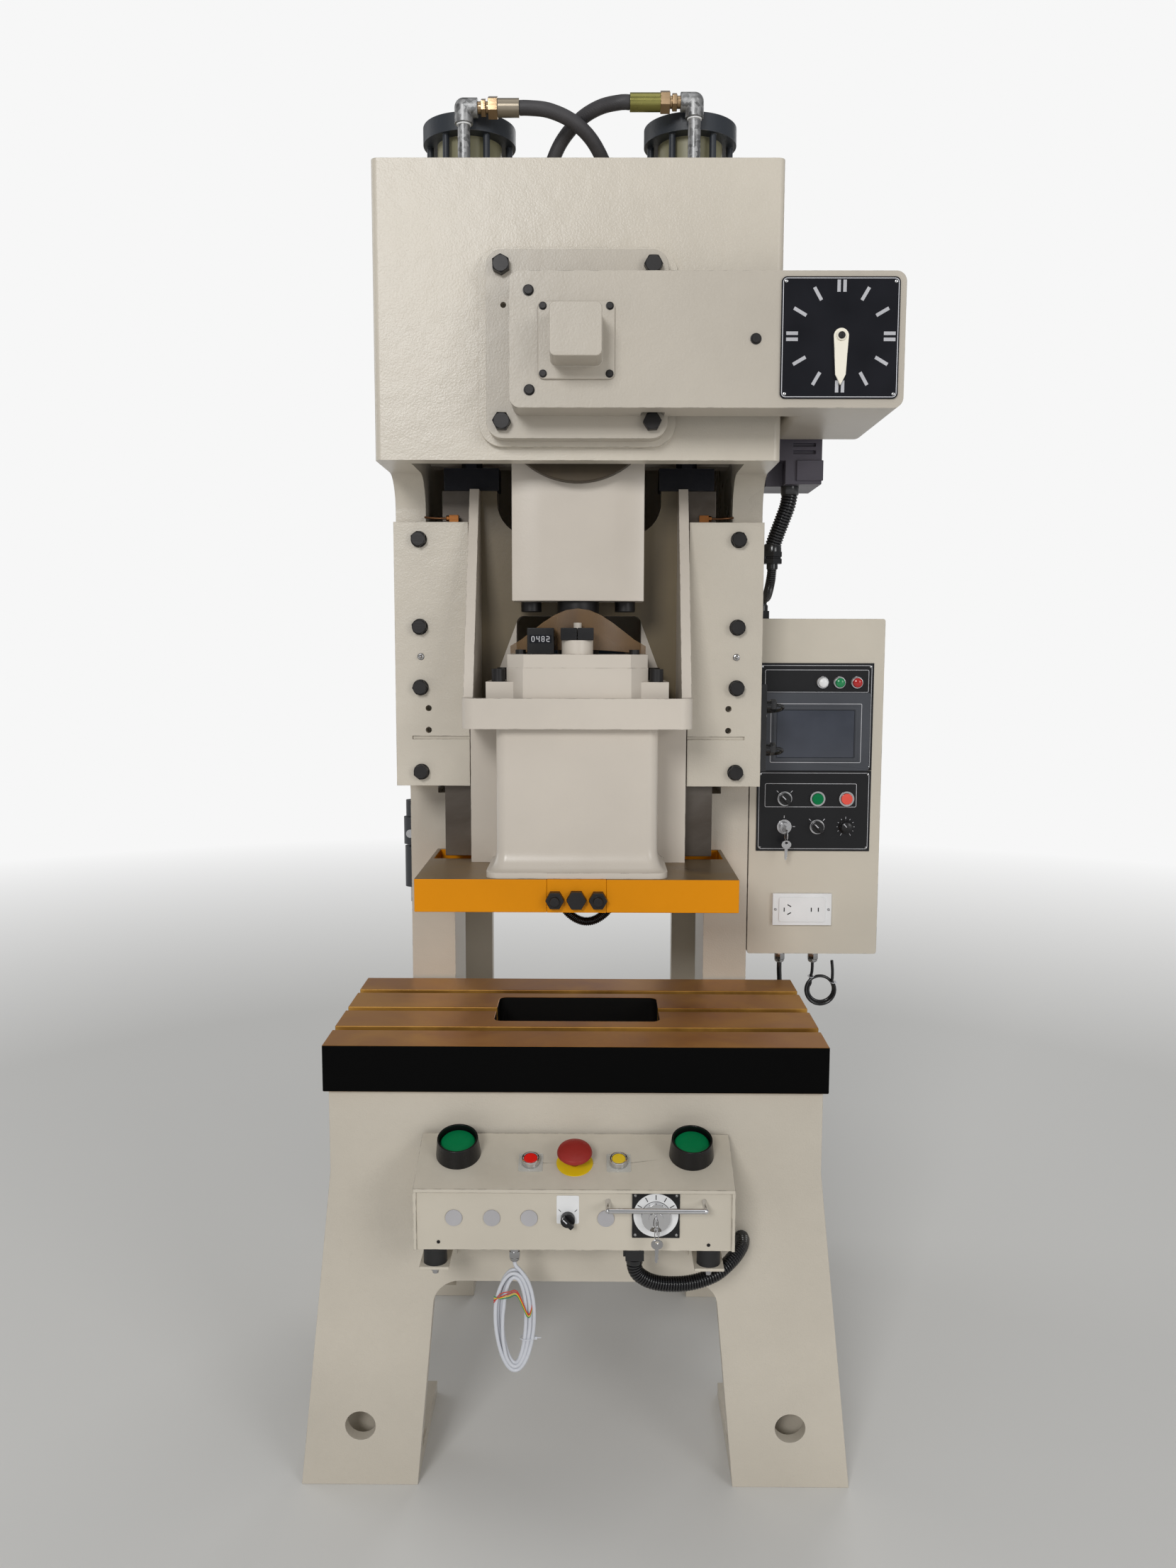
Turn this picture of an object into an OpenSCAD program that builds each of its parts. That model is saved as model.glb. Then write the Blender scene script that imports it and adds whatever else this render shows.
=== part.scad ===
// Open-gap (C-frame) mechanical stamping press with a front-to-back crankshaft, shown at bottom dead centre.
// Frame: X to the right of the operator, Y away from the operator, Z up, millimetres.
// Origin: floor level, centre of the four anchor bolt holes.

/* [Frame] */
// Width over the two side plates
frame_w = 670; // [640:2:690]
// Thickness of each side plate
side_t = 55; // [45:1:58]
// Height of the head above the floor
frame_h = 2246; // [2220:2:2300]
// Rear face of the frame
frame_rear = 475; // [440:5:540]
// Front face of the throat columns
column_y = -45; // [-48:1:-20]
// Thickness of the rear plate
rear_t = 40; // [30:1:50]
// Height of the arch between front and rear feet
side_arch_z = 420; // [380:5:520]

/* [Head] */
// Front face of the head plate
head_y = -390; // [-400:1:-385]
// Thickness of the head plate
head_t = 40; // [36:1:42]
// Lower edge of the head plate
head_z = 1770; // [1750:1:1780]
// Rounding of the head's upright edges
head_edge_r = 12; // [4:1:16]
// Width of the raised pad round the crank bearing
pad_w = 322; // [310:1:340]
// Height of the raised pad
pad_h = 314; // [306:1:330]
// Thickness of the raised pad
pad_t = 13; // [8:1:16]
// Thickness of the top plate
top_t = 24; // [16:1:30]

/* [Base] */
// Front face of the base plate
base_y = -460; // [-470:1:-455]
// Thickness of the base plate
base_t = 24; // [20:1:30]
// Width of the base plate at its top
base_w = 836; // [820:1:846]
// Width over the splayed feet
foot_w = 960; // [900:5:980]
// Height at which the legs start to splay
splay_z = 575; // [520:5:620]
// Top of the front arch
arch_z = 378; // [350:1:400]
// Width of the front arch at its top
arch_w = 490; // [460:2:500]
// Width of the front arch at the floor
arch_foot_w = 552; // [520:2:560]
// Corner radius of the front arch
arch_r = 45; // [20:1:60]
// Thickness of the foot plates
foot_t = 25; // [20:1:35]
// Sideways distance between anchor holes
anchor_x = 820; // [780:5:840]
// Front-to-back distance between anchor holes
anchor_y = 650; // [600:5:700]
// Radius of the anchor holes
anchor_r = 11; // [8:0.5:14]
// Radius of the lifting bar holes
lift_r = 26.5; // [20:0.5:32]
// Height of the lifting bar holes
lift_z = 110; // [90:1:140]
// Sideways distance between lifting bar holes
lift_x = 750; // [720:2:770]

/* [Bolster] */
// Height of the bolster's working face above the floor
bolster_z = 800; // [790:1:810]
// Thickness of the bolster
bolster_t = 80; // [70:1:95]
// Width of the bolster
bolster_w = 850; // [840:1:900]
// Depth of the bolster
bolster_d = 424; // [410:1:426]
// Front face of the bolster
bolster_y = -475; // [-480:1:-474]
// Distance between the T-slots
slot_pitch = 116; // [105:1:120]
// Width of a T-slot's throat
slot_w = 22; // [16:1:26]
// Width of a T-slot's head
slot_head_w = 38; // [32:1:42]
// Depth of a T-slot's throat
slot_throat = 18; // [14:1:24]
// Height of a T-slot's head
slot_head_h = 16; // [12:1:20]
// Width of the drop hole
drop_w = 296; // [260:2:320]
// Depth of the drop hole
drop_d = 148; // [120:2:160]
// Corner radius of the drop hole
drop_r = 14; // [6:1:20]

/* [Guides] */
// Front face of the gib plates
gib_y = -210; // [-212:1:-206]
// Thickness of the gib plates
gib_t = 30; // [28:1:32]
// Distance between the gib plates' inner edges
gib_gap_w = 400; // [398:1:404]
// Lower edge of the gib plates
gib_z = 1208; // [1204:1:1214]
// Length of the gib plates
gib_h = 479; // [460:1:482]
// Width of each slide rail
rail_w = 53; // [46:1:56]
// Depth of each slide rail
rail_d = 50; // [44:1:50]
// Running gap of the guides
guide_gap = 0.05; // [0.03:0.01:0.1]
// Across-flats size of the frame's hex bolts
hex_af = 26; // [24:1:32]
// Height of the frame's hex bolt heads
hex_h = 15; // [10:1:18]

/* [Slide] */
// Distance between slide face and bolster at bottom dead centre
die_height = 210; // [206:1:216]
// Slide axis, where the shank and the adjusting screw stand
die_y = -263; // [-265:1:-261]
// Width of the slide casting between the rails
slide_w = 394; // [388:1:396]
// Width of the slide's bottom plate
plate_w = 558; // [540:2:600]
// Front face of the slide's bottom plate
plate_y = -393; // [-400:1:-391]
// Depth of the slide's bottom plate
plate_d = 318; // [300:2:324]
// Thickness of the slide's bottom plate
plate_t = 58; // [50:1:64]
// Depth of the oil tray at the back of the bottom plate
drip_d = 112; // [90:2:120]
// Width of the slide's front box
box_w = 280; // [250:2:300]
// Front face of the slide's front box
box_y = -365; // [-370:1:-355]
// Height of the slide's front box
box_h = 257; // [246:1:262]
// Width of the flared foot of the front box
flare_w = 314; // [300:2:330]
// Height of the flared foot
flare_h = 50; // [40:1:60]
// Height of the shelf rim
shelf_h = 52; // [44:1:60]
// Thickness of the shelf floor
shelf_floor = 12; // [10:1:16]
// Thickness of the shelf's rim and of the upright webs
web_w = 17; // [12:1:20]
// Height of the slide's back wall above its base
wall_h = 678; // [660:1:684]
// Thickness of the slide's back wall
wall_t = 45; // [40:1:50]
// Radius of the shank bore
shank_r = 25; // [19:1:28]
// Width of the shank clamp block
clamp_w = 102; // [90:1:120]
// Distance from the centre bolt to each clamp stud
stud_x = 37; // [35:1:40]

/* [Crank and rod] */
// Height of the crankshaft axis
crank_z = 1940; // [1936:1:1944]
// Stroke of the slide
stroke = 110; // [104:1:114]
// Radius of the round crank webs
web_r = 143; // [120:1:144]
// Thickness of the crank webs
web_t = 28; // [20:1:29]
// Radius of the crankpin
pin_r = 58; // [50:1:62]
// Radius of the front journal
front_journal_r = 52; // [44:1:54]
// Radius of the rear journals
rear_journal_r = 60; // [54:1:62]
// Wall of the bronze bushes
bush_wall = 12; // [8:1:14]
// Running gap of the crank bearings
bearing_gap = 0.06; // [0.03:0.01:0.1]
// Width of the connecting rod
rod_w = 230; // [220:1:234]
// Depth of the connecting rod
rod_d = 94; // [88:1:96]
// Distance from the crankpin's axis to the rod's lower face
rod_len = 342; // [336:1:346]
// Radius of the adjusting screw
screw_r = 37; // [32:1:39]
// Length of the screw inside the rod
screw_grip = 150; // [120:2:165]
// Radius of the screw's ball
ball_r = 48; // [44:1:50]

/* [Front gearbox] */
// Width of the bearing cover
cover_w = 292; // [284:1:300]
// Height of the bearing cover
cover_h = 293; // [284:1:300]
// Thickness of the bearing cover
cover_t = 30; // [24:1:34]
// Distance between the cover's bolts
cover_bolt = 242; // [236:1:248]
// Left end of the dial box
dial_box_x = -104; // [-108:1:-100]
// Right end of the dial box
dial_box_end = 507; // [500:1:520]
// Height of the dial box
dial_box_h = 205; // [200:1:210]
// Depth of the dial box
dial_box_d = 72; // [66:1:80]
// Depth of the cam box beside the head
cam_box_d = 223; // [200:1:230]
// Width of the cam box
cam_box_w = 160; // [150:1:164]
// Wall of the dial box
dial_wall = 6; // [5:0.5:8]
// Size of the square cap over the crank's end
cap_w = 79; // [74:1:84]
// Distance that the square cap stands out
cap_out = 72; // [60:1:80]
// Centre of the dial, from the crankshaft axis
dial_x = 407; // [400:1:411]
// Size of the square dial plate
dial_w = 182; // [176:1:186]
// Length of the pointer
pointer_len = 74; // [66:1:82]

/* [Balancers and air] */
// Sideways distance between the balance cylinders
balancer_x = 392; // [388:1:400]
// Centre of the balance cylinders
balancer_y = -165; // [-166:1:-163]
// Outer radius of the balance cylinders
cylinder_r = 57; // [54:1:58]
// Wall of the balance cylinders
cylinder_wall = 6; // [5:0.5:8]
// Radius of the cylinder caps
cyl_cap_r = 82; // [76:1:86]
// Height that the cylinders stand above the head
cylinder_out = 99; // [90:1:112]
// Radius of the balancer rods
balance_rod_r = 15; // [12:0.5:15]
// Radius of the air pipes
pipe_r = 10.7; // [8:0.1:12]
// Radius of the air hoses
hose_r = 12; // [9:0.5:13]

/* [Cabinet] */
// Width of the control cabinet
cabinet_w = 259; // [240:1:290]
// Height of the control cabinet
cabinet_h = 667; // [640:1:700]
// Depth of the control cabinet
cabinet_d = 220; // [180:5:260]
// Lower edge of the control cabinet
cabinet_z = 852; // [830:1:870]
// Width of the black panels
panel_w = 225; // [215:1:228]
// Width of the touch screen's housing
screen_w = 210; // [200:1:212]
// Height of the touch screen's housing
screen_h = 153; // [145:1:155]
// Radius of the panel's push buttons
push_r = 11; // [9:0.5:12]

/* [Two-hand console] */
// Width of the console
console_w = 516; // [500:2:530]
// Front face of the console
console_y = -590; // [-600:1:-580]
// Rear edge of the console
console_rear = -470; // [-474:1:-466]
// Height of the console's front edge
console_z = 603; // [590:1:610]
// Height of the console's rear edge
console_top = 647; // [640:1:656]
// Lower edge of the console
console_low = 500; // [490:1:510]
// Sheet thickness of the console
console_wall = 3; // [2:0.5:5]
// Distance between the palm buttons
palm_x = 385; // [370:1:400]
// Radius of the palm buttons
palm_r = 30; // [26:0.5:32]
// Radius of the stop button's head
stop_r = 29; // [20:0.5:30]

/* [Drive] */
// Radius of the flywheel
flywheel_r = 330; // [300:1:335]
// Width of the flywheel's rim
flywheel_w = 120; // [100:1:130]
// Radius of the clutch hub that carries the flywheel
hub_r = 70; // [64:1:76]
// Radius of the motor pulley
pulley_r = 75; // [60:1:85]
// Distance between flywheel and motor axes
drive_len = 557; // [540:1:580]
// Number of drive belts
belt_count = 3; // [2:1:3]
// Radius of the motor body
motor_r = 115; // [100:1:125]
// Length of the motor body
motor_len = 290; // [240:5:320]
// Sheet thickness of the flywheel guard
guard_wall = 3; // [2:0.5:5]

/* [Hidden] */
$fn = 48;

cream = [0.86, 0.84, 0.76];
machined = [0.45, 0.40, 0.32];
dark_steel = [0.24, 0.23, 0.25];
black = [0.06, 0.06, 0.07];
silver = [0.75, 0.76, 0.78];
bronze = [0.72, 0.52, 0.26];
signal_yellow = [0.93, 0.58, 0.05];

touch = 0.01;
soft_gap = 0.3;
half_w = frame_w / 2;
inner_x = half_w - side_t;
plate_back = head_y + head_t;
base_back = base_y + base_t;
bed_z = bolster_z - bolster_t;
bed_t = 40;
gib_seat_y = gib_y + gib_t;
gib_inner = gib_gap_w / 2;
rear_slant = 110;
top_rear = frame_rear - rear_slant;
rail_x0 = slide_w / 2;
rail_x1 = rail_x0 + rail_w;
rail_back = gib_seat_y + guide_gap + rail_d;
seat_d = 50;
column_flange = 31;
column_flange_d = 195;
face_z = bolster_z + die_height;
slide_z = face_z + plate_t;
shelf_z = slide_z + box_h;
shelf_top = shelf_z + shelf_h;
wall_top = slide_z + wall_h;
wall_y = gib_seat_y + guide_gap + 5;
housing_z = shelf_z + shelf_floor;
housing_h = 91;
housing_w = 244;
housing_front_w = 184;
housing_slant = 34;
housing_y = -375;
housing_back = wall_y - soft_gap;
ear_w = 314;
ear_h = 67;
lid_h = 23;
lid_z = housing_z + housing_h;
lid_top = lid_z + lid_h;
boss_y = -343;
boss_r = 27;
boss_h = 24;
pin_z = crank_z - stroke / 2;
rod_front = die_y - rod_d / 2;
rod_back = die_y + rod_d / 2;
rod_z = pin_z - rod_len;
rod_split = 1;
web_gap = 2.5;
bearing_y = -100;
bearing_t = 50;
bearing_z = 1800;
cover_y = head_y - pad_t;
cover_front = cover_y - cover_t;
dial_back = cover_front;
dial_front = dial_back - dial_box_d;
dial_plate_t = 3;
dial_z0 = crank_z - dial_box_h / 2 - 4;
cylinder_top = frame_h + cylinder_out;
cylinder_z = frame_h - 161;
cylinder_cap_t = 30;
piston_z = cylinder_z + 60;
piston_h = 25;
yoke_w = 100;
yoke_h = 40;
pipe_y = balancer_y - cyl_cap_r - pipe_r - 6.3;
left_bend = 127;
right_bend = 136;
union_end = 58;
left_ferrule = 36.7;
right_ferrule = 51.7;
cabinet_x = half_w + 2;
panel_x = cabinet_x + cabinet_w - panel_w - 20;
panel_split = cabinet_z + 370;
panel_top = panel_split + 211;
panel_low = panel_split - 161;
panel_t = 2;
bezel_y = column_y - panel_t - 4;
row_one = panel_split - 56;
row_two = panel_split - 112;
cell_left = panel_x + 55;
cell_mid = panel_x + 120;
cell_right = panel_x + 177;
cabinet_cords = [410, 478];
socket_x = 35;
socket_w = 117;
socket_z = 60;
socket_h = 64;
socket_t = 8;
inverter_out = 105;
inverter_y = -185;
inverter_d = 140;
inverter_z = 1758;
inverter_h = 232;
slope = atan((console_top - console_z) / (console_rear - console_y));
slope_len = norm([console_rear - console_y, console_top - console_z]);
palm_along = slope_len * 0.62;
stop_along = slope_len * 0.46;
cord_x = -97;
cord_y = -565;
conduit_x = 98;
mode_x = 131;
light_x = -10;
mode_z = console_low + 61;
plug_z = console_low + 54;
base_hole = [284, 461];
motor_z = crank_z - drive_len;
motor_y = 110;
flywheel_y = frame_rear + 30;
shelf_plate_t = 20;
shelf_plate_z = motor_z - motor_r - 20 - shelf_plate_t;
guard_gap = 20;
belt_w = 11;
belt_pitch = 26;
groove_w = 12;
groove_d = 12;
guard_front = frame_rear;
guard_back = flywheel_y + flywheel_w + guard_gap;

// Routes of hoses and cords, chosen by hand; the hoses' heights are above the head's top
left_hose_route = [for (p = [
    [-101, -264, 127], [-86, -264, 127], [-52, -262, 124], [-14, -252, 112], [18, -232, 92], [42, -206, 62],
    [58, -170, 30], [66, -124, 14], [70, -70, 13], [72, -20, 16], [72, 20, 21], [72, 40, 22],
    [72, 50, 14], [72, 50, 0.3]
]) [p[0], p[1], frame_h + p[2]]];
right_hose_route = [for (p = [
    [86, -264, 136], [70, -264, 136], [36, -248, 135], [2, -226, 124], [-30, -203, 98], [-50, -184, 64],
    [-62, -156, 32], [-68, -116, 15], [-72, -70, 13], [-72, -20, 16], [-72, 20, 21], [-72, 40, 22],
    [-72, 50, 14], [-72, 50, 0.3]
]) [p[0], p[1], frame_h + p[2]]];
console_conduit_route = [
    [98, -565, 475.7], [98, -565, 462], [106, -564, 447], [128, -562, 434], [160, -558, 428],
    [196, -551, 428], [232, -540, 436], [260, -520, 449], [278, -495, 458], [284, -475, 461],
    [284, -460.3, 461]
];
inverter_conduit_route = [
    [388, -150, 1757.7], [388, -150, 1744], [384, -150, 1722], [376, -147, 1698], [367, -142, 1672],
    [361, -138, 1652], [360, -137, 1640.3]
];
cabinet_conduit_route = [
    [360, -137, 1617.7], [360, -136, 1608], [359, -130, 1590], [358, -112, 1572], [358, -84, 1560],
    [358, -52, 1558], [359, -24, 1562], [361, -4, 1560], [362, 5, 1552], [362, 6, 1547.3]
];
slide_conduit_route = [
    [-52, -74.7, 1030], [-52, -64, 1030], [-51, -54, 1020], [-48, -48, 996], [-40, -46, 962],
    [-20, -46, 932], [8, -46, 917], [36, -46, 922], [62, -47, 946], [78, -48, 982],
    [85, -52, 1014], [88, -63, 1030], [88, -74.7, 1030]
];
supply_cable_route = [
    [410, 5, 821.7], [410, 5, 806], [411, 5, 786], [412, 6, 760], [412, 8, 724], [408, 11, 684],
    [398, 14, 652], [382, 17, 634], [362, 19, 626], [346, 20, 624], [335.3, 20, 624]
];

module bar(x0, x1, y0, y1, z0, z1) {
    translate([x0, y0, z0]) cube([x1 - x0, y1 - y0, z1 - z0]);
}

module pair() {
    for (s = [0, 1]) mirror([s, 0, 0]) children();
}

// Rounded rectangle about the origin
module round_rect(w, h, r) {
    square([w - 2 * r, h], center = true);
    square([w, h - 2 * r], center = true);
    for (x = [-1, 1], y = [-1, 1]) translate([x * (w / 2 - r), y * (h / 2 - r)]) circle(r = r);
}

// Plane XZ shape given thickness from y0 towards the back
module upright(y0, t) {
    translate([0, y0 + t, 0]) rotate([90, 0, 0]) linear_extrude(t) children();
}

// Plane YZ shape given thickness from x0 towards the right
module profile(x0, t) {
    translate([x0, 0, 0]) rotate([90, 0, 90]) linear_extrude(t) children();
}

// Cylinder along Y from y0 to y1
module pin_y(x, z, r, y0, y1) {
    translate([x, y1, z]) rotate([90, 0, 0]) cylinder(r = r, h = y1 - y0);
}

// Hex prism along Y, across flats af
module hex_y(x, z, af, y0, y1, turn = 0) {
    translate([x, y1, z]) rotate([90, 0, 0]) rotate(turn) cylinder(r = af / sqrt(3), h = y1 - y0, $fn = 6);
}

function arc(cx, cy, r, a0, a1, n = 8) =
    [for (i = [0 : n]) let (a = a0 + (a1 - a0) * i / n) [cx + r * cos(a), cy + r * sin(a)]];

function unit(v) = v / norm(v);

function tangent(p, i) = unit(p[min(i + 1, len(p) - 1)] - p[max(i - 1, 0)]);

function frames(p, i = 0, last = [0, 0, 0]) =
    i >= len(p) ? [] :
    let (t = tangent(p, i),
         seed = i == 0 ? (abs(t[2]) < 0.9 ? [0, 0, 1] : [1, 0, 0]) : last,
         u = unit(seed - (seed * t) * t))
    concat([[u, cross(t, u)]], frames(p, i + 1, u));

// Round tube of equal thickness swept along a route
module sweep(route, r, sides = 10) {
    f = frames(route);
    n = len(route);
    points = [for (i = [0 : n - 1], k = [0 : sides - 1])
        route[i] + r * (cos(360 * k / sides) * f[i][0] + sin(360 * k / sides) * f[i][1])];
    walls = [for (i = [0 : n - 2], k = [0 : sides - 1])
        [i * sides + k, (i + 1) * sides + k, (i + 1) * sides + (k + 1) % sides, i * sides + (k + 1) % sides]];
    start = [for (k = [0 : sides - 1]) k];
    finish = [for (k = [sides - 1 : -1 : 0]) (n - 1) * sides + k];
    polyhedron(points, concat(walls, [start, finish]), convexity = 6);
}

// Outline round two wheels in the XZ plane, the upper wheel first
function loop_outline(z1, r1, z2, r2, n = 20) =
    let (a = asin((r1 - r2) / (z1 - z2)))
    concat(arc(0, z1, r1, -a, 180 + a, n), arc(0, z2, r2, 180 + a, 360 - a, n / 2));

// Frame

function side_outline() = concat(
    [[base_back, foot_t], [base_back + 96, foot_t], [base_back + 200, side_arch_z - 60]],
    arc(base_back + 260, side_arch_z - 60, 60, 180, 90),
    arc(115, side_arch_z - 60, 60, 90, 0),
    [[200, foot_t], [frame_rear, foot_t], [frame_rear, frame_h - rear_slant], [top_rear, frame_h]],
    [[plate_back, frame_h], [plate_back, head_z]],
    arc(gib_seat_y - 60, head_z - 60, 60, 90, 0),
    arc(gib_seat_y + 10, gib_z + 17, 10, 180, 270, 4),
    arc(column_y - 40, gib_z - 33, 40, 90, 0),
    [[column_y, bed_z - bed_t], [base_back, bed_z - bed_t]]
);

module side_plate() {
    profile(inner_x, side_t) polygon(side_outline());
    // Rear and side seats of the slide rail
    bar(gib_inner, inner_x, rail_back + guide_gap, rail_back + seat_d, gib_z + 7, gib_z + gib_h);
    bar(rail_x1 + guide_gap, inner_x, gib_seat_y, rail_back + seat_d, gib_z + 7, gib_z + gib_h);
    // Inner flange of the throat column
    bar(inner_x - column_flange, inner_x, column_y, column_y + column_flange_d, bed_z, gib_z - 33);
}

module side_plate_left() {
    color(cream) mirror([1, 0, 0]) side_plate();
}

module side_plate_right() {
    color(cream) side_plate();
}

module head_frame() {
    color(cream) {
        difference() {
            union() {
                linear_extrude_z(head_z, frame_h) head_plan();
                translate([0, 0, crank_z + 7]) upright(cover_y, pad_t) round_rect(pad_w, pad_h, 38);
            }
            pin_y(0, crank_z, front_journal_r + bush_wall, cover_y - 1, plate_back + 1);
        }
        difference() {
            bar(-inner_x, inner_x, plate_back, top_rear, frame_h - top_t, frame_h);
            pair() translate([balancer_x / 2, balancer_y, frame_h - top_t - 1])
                cylinder(r = cylinder_r, h = top_t + 2);
            pair() translate([72, 50, frame_h - top_t - 1]) cylinder(r = 8, h = top_t + 2);
            pair() translate([balancer_x / 2, pipe_y, frame_h - top_t - 1]) cylinder(r = 8, h = top_t + 2);
        }
        difference() {
            bar(-inner_x, inner_x, bearing_y, bearing_y + bearing_t, bearing_z, frame_h - top_t);
            pin_y(0, crank_z, rear_journal_r + bush_wall, bearing_y - 1, bearing_y + bearing_t + 1);
        }
    }
}

module linear_extrude_z(z0, z1) {
    translate([0, 0, z0]) linear_extrude(z1 - z0) children();
}

// Plan of the head plate with its two rounded front edges
module head_plan() {
    translate([-half_w, head_y + head_edge_r]) square([frame_w, head_t - head_edge_r]);
    translate([-half_w + head_edge_r, head_y]) square([frame_w - 2 * head_edge_r, head_t]);
    for (x = [-1, 1]) translate([x * (half_w - head_edge_r), head_y + head_edge_r]) circle(r = head_edge_r);
}

function base_half() = concat(
    [[base_w / 2, bed_z], [base_w / 2, splay_z], [foot_w / 2, 0], [arch_foot_w / 2, 0]],
    arc(arch_w / 2 - arch_r, arch_z - arch_r, arch_r, 0, 90)
);

function base_outline() = let (h = base_half()) concat(h, [for (i = [len(h) - 1 : -1 : 0]) [-h[i][0], h[i][1]]]);

module base_frame() {
    color(cream) {
        difference() {
            upright(base_y, base_t) polygon(base_outline());
            pair() pin_y(lift_x / 2, lift_z, lift_r, base_y - 1, base_back + 1);
            pin_y(base_hole[0], base_hole[1], 11, base_y - 1, base_back + 1);
        }
        difference() {
            bar(-base_w / 2, base_w / 2, base_back, column_y, bed_z - bed_t, bed_z);
            bar(-drop_w / 2 - 12, drop_w / 2 + 12, drop_y() - drop_d / 2 - 8, drop_y() + drop_d / 2 + 8,
                bed_z - bed_t - 1, bed_z + 1);
        }
        pair() difference() {
            union() {
                bar(arch_foot_w / 2, foot_w / 2, base_back, -190, 0, foot_t);
                upright(-390, 18) gusset();
            }
            translate([anchor_x / 2, -anchor_y / 2, -1]) cylinder(r = anchor_r, h = foot_t + 2);
        }
    }
}

function drop_y() = bolster_y + bolster_d / 2 + 4;

// Triangular rib outside a side plate
module gusset() {
    polygon([[half_w, foot_t], [foot_w / 2 - 12, foot_t], [half_w + 30, side_arch_z - 20], [half_w, side_arch_z - 20]]);
}

module rear_frame() {
    opening_w = 430;
    color(cream) {
        difference() {
            bar(-inner_x, inner_x, frame_rear - rear_t, frame_rear, foot_t, frame_h - rear_slant);
            bar(-opening_w / 2, opening_w / 2, frame_rear - rear_t - 1, frame_rear + 1, 470, shelf_plate_z - 50);
            bar(-arch_w / 2, arch_w / 2, frame_rear - rear_t - 1, frame_rear + 1, foot_t - 1, arch_z - 60);
            pin_y(0, motor_z, 60, frame_rear - rear_t - 1, frame_rear + 1);
            pin_y(0, crank_z, rear_journal_r + bush_wall, frame_rear - rear_t - 1, frame_rear + 1);
        }
        profile(-inner_x, 2 * inner_x)
            polygon([[top_rear, frame_h], [frame_rear, frame_h - rear_slant], [frame_rear - rear_t, frame_h - rear_slant],
                     [frame_rear - rear_t, frame_h - rear_slant + rear_t - top_t], [top_rear, frame_h - top_t]]);
        bar(-150, 150, motor_y - 20, frame_rear - rear_t, shelf_plate_z, shelf_plate_z + shelf_plate_t);
        pair() profile(110, 16)
            polygon([[frame_rear - rear_t, shelf_plate_z - 130], [frame_rear - rear_t, shelf_plate_z],
                     [motor_y, shelf_plate_z], [motor_y, shelf_plate_z - 20]]);
        pair() difference() {
            union() {
                bar(240, foot_w / 2, 175, frame_rear, 0, foot_t);
                bar(240, inner_x, 175, 195, foot_t, side_arch_z + 40);
                bar(240, inner_x, 175, frame_rear - rear_t, foot_t, foot_t + 15);
                upright(240, 18) gusset();
            }
            translate([anchor_x / 2, anchor_y / 2, -1]) cylinder(r = anchor_r, h = foot_t + 2);
        }
    }
}

// Guides

module gib_plate() {
    difference() {
        bar(gib_inner, half_w, gib_y, gib_seat_y, gib_z, gib_z + gib_h);
        pin_y(288, gib_z + 237, 6, gib_y - 1, gib_seat_y + 1);
        for (z = [103, 143]) pin_y(275, gib_z + z, 5.5, gib_y - 1, gib_seat_y + 1);
        bar(gib_inner - 1, 305, gib_y - 1, gib_y + 4, gib_z + 86, gib_z + 92);
    }
}

module gib_plates() {
    color(cream) pair() gib_plate();
}

gib_bolt_z = [26, 181, 291, 448];

module hex_bolts() {
    color(black) {
        pair() for (z = gib_bolt_z) hex_bolt(289, gib_z + z, gib_y);
        for (x = [-1, 1], z = [-1, 1]) hex_bolt(x * cover_bolt / 2, crank_z + 5 + z * cover_bolt / 2, cover_front);
    }
}

module hex_bolt(x, z, y) {
    hex_y(x, z, hex_af, y - hex_h, y, 30);
    pin_y(x, z, hex_af / 2 - 2, y - hex_h - 1, y - hex_h);
}

module slide_rails() {
    color(dark_steel) pair()
        bar(rail_x0, rail_x1, gib_seat_y + guide_gap, rail_back, slide_z + 4, wall_top);
}

// Bolster

module t_slot(y) {
    bar(-bolster_w / 2 - 1, bolster_w / 2 + 1, y - slot_w / 2, y + slot_w / 2, bolster_z - slot_throat - 1, bolster_z + 1);
    bar(-bolster_w / 2 - 1, bolster_w / 2 + 1, y - slot_head_w / 2, y + slot_head_w / 2,
        bolster_z - slot_throat - slot_head_h, bolster_z - slot_throat);
}

module bolster() {
    centre = bolster_y + bolster_d / 2;
    color(machined) difference() {
        bar(-bolster_w / 2, bolster_w / 2, bolster_y, bolster_y + bolster_d, bed_z, bolster_z);
        for (i = [-1 : 1]) t_slot(centre + i * slot_pitch);
        translate([0, drop_y(), bed_z - 1]) linear_extrude(bolster_t + 2) round_rect(drop_w, drop_d, drop_r);
    }
}

// Crankshaft, rod and slide

module crank_bushes() {
    color(bronze) {
        bush(front_journal_r, cover_y, plate_back);
        bush(rear_journal_r, bearing_y, bearing_y + bearing_t);
        bush(rear_journal_r, frame_rear - rear_t, frame_rear);
    }
}

module bush(r, y0, y1) {
    difference() {
        pin_y(0, crank_z, r + bush_wall, y0, y1);
        pin_y(0, crank_z, r + bearing_gap, y0 - 1, y1 + 1);
    }
}

module crankshaft() {
    front_web = rod_front - web_gap - web_t;
    rear_web = rod_back + web_gap;
    color(dark_steel) {
        pin_y(0, crank_z, front_journal_r, cover_front - 6, front_web);
        pin_y(0, crank_z, 48, cover_front - 14, cover_front - 6);
        pin_y(0, pin_z, web_r, front_web, front_web + web_t);
        pin_y(0, pin_z, web_r, rear_web, rear_web + web_t);
        pin_y(0, crank_z, rear_journal_r, rear_web + web_t, frame_rear + 18);
        pin_y(0, crank_z, 150, 180, 202);
        pin_y(0, crank_z, hub_r, frame_rear + 18, flywheel_y + flywheel_w + 6);
        pin_y(0, crank_z, hub_r + 30, flywheel_y + flywheel_w + 1, flywheel_y + flywheel_w + 10);
    }
}

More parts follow.
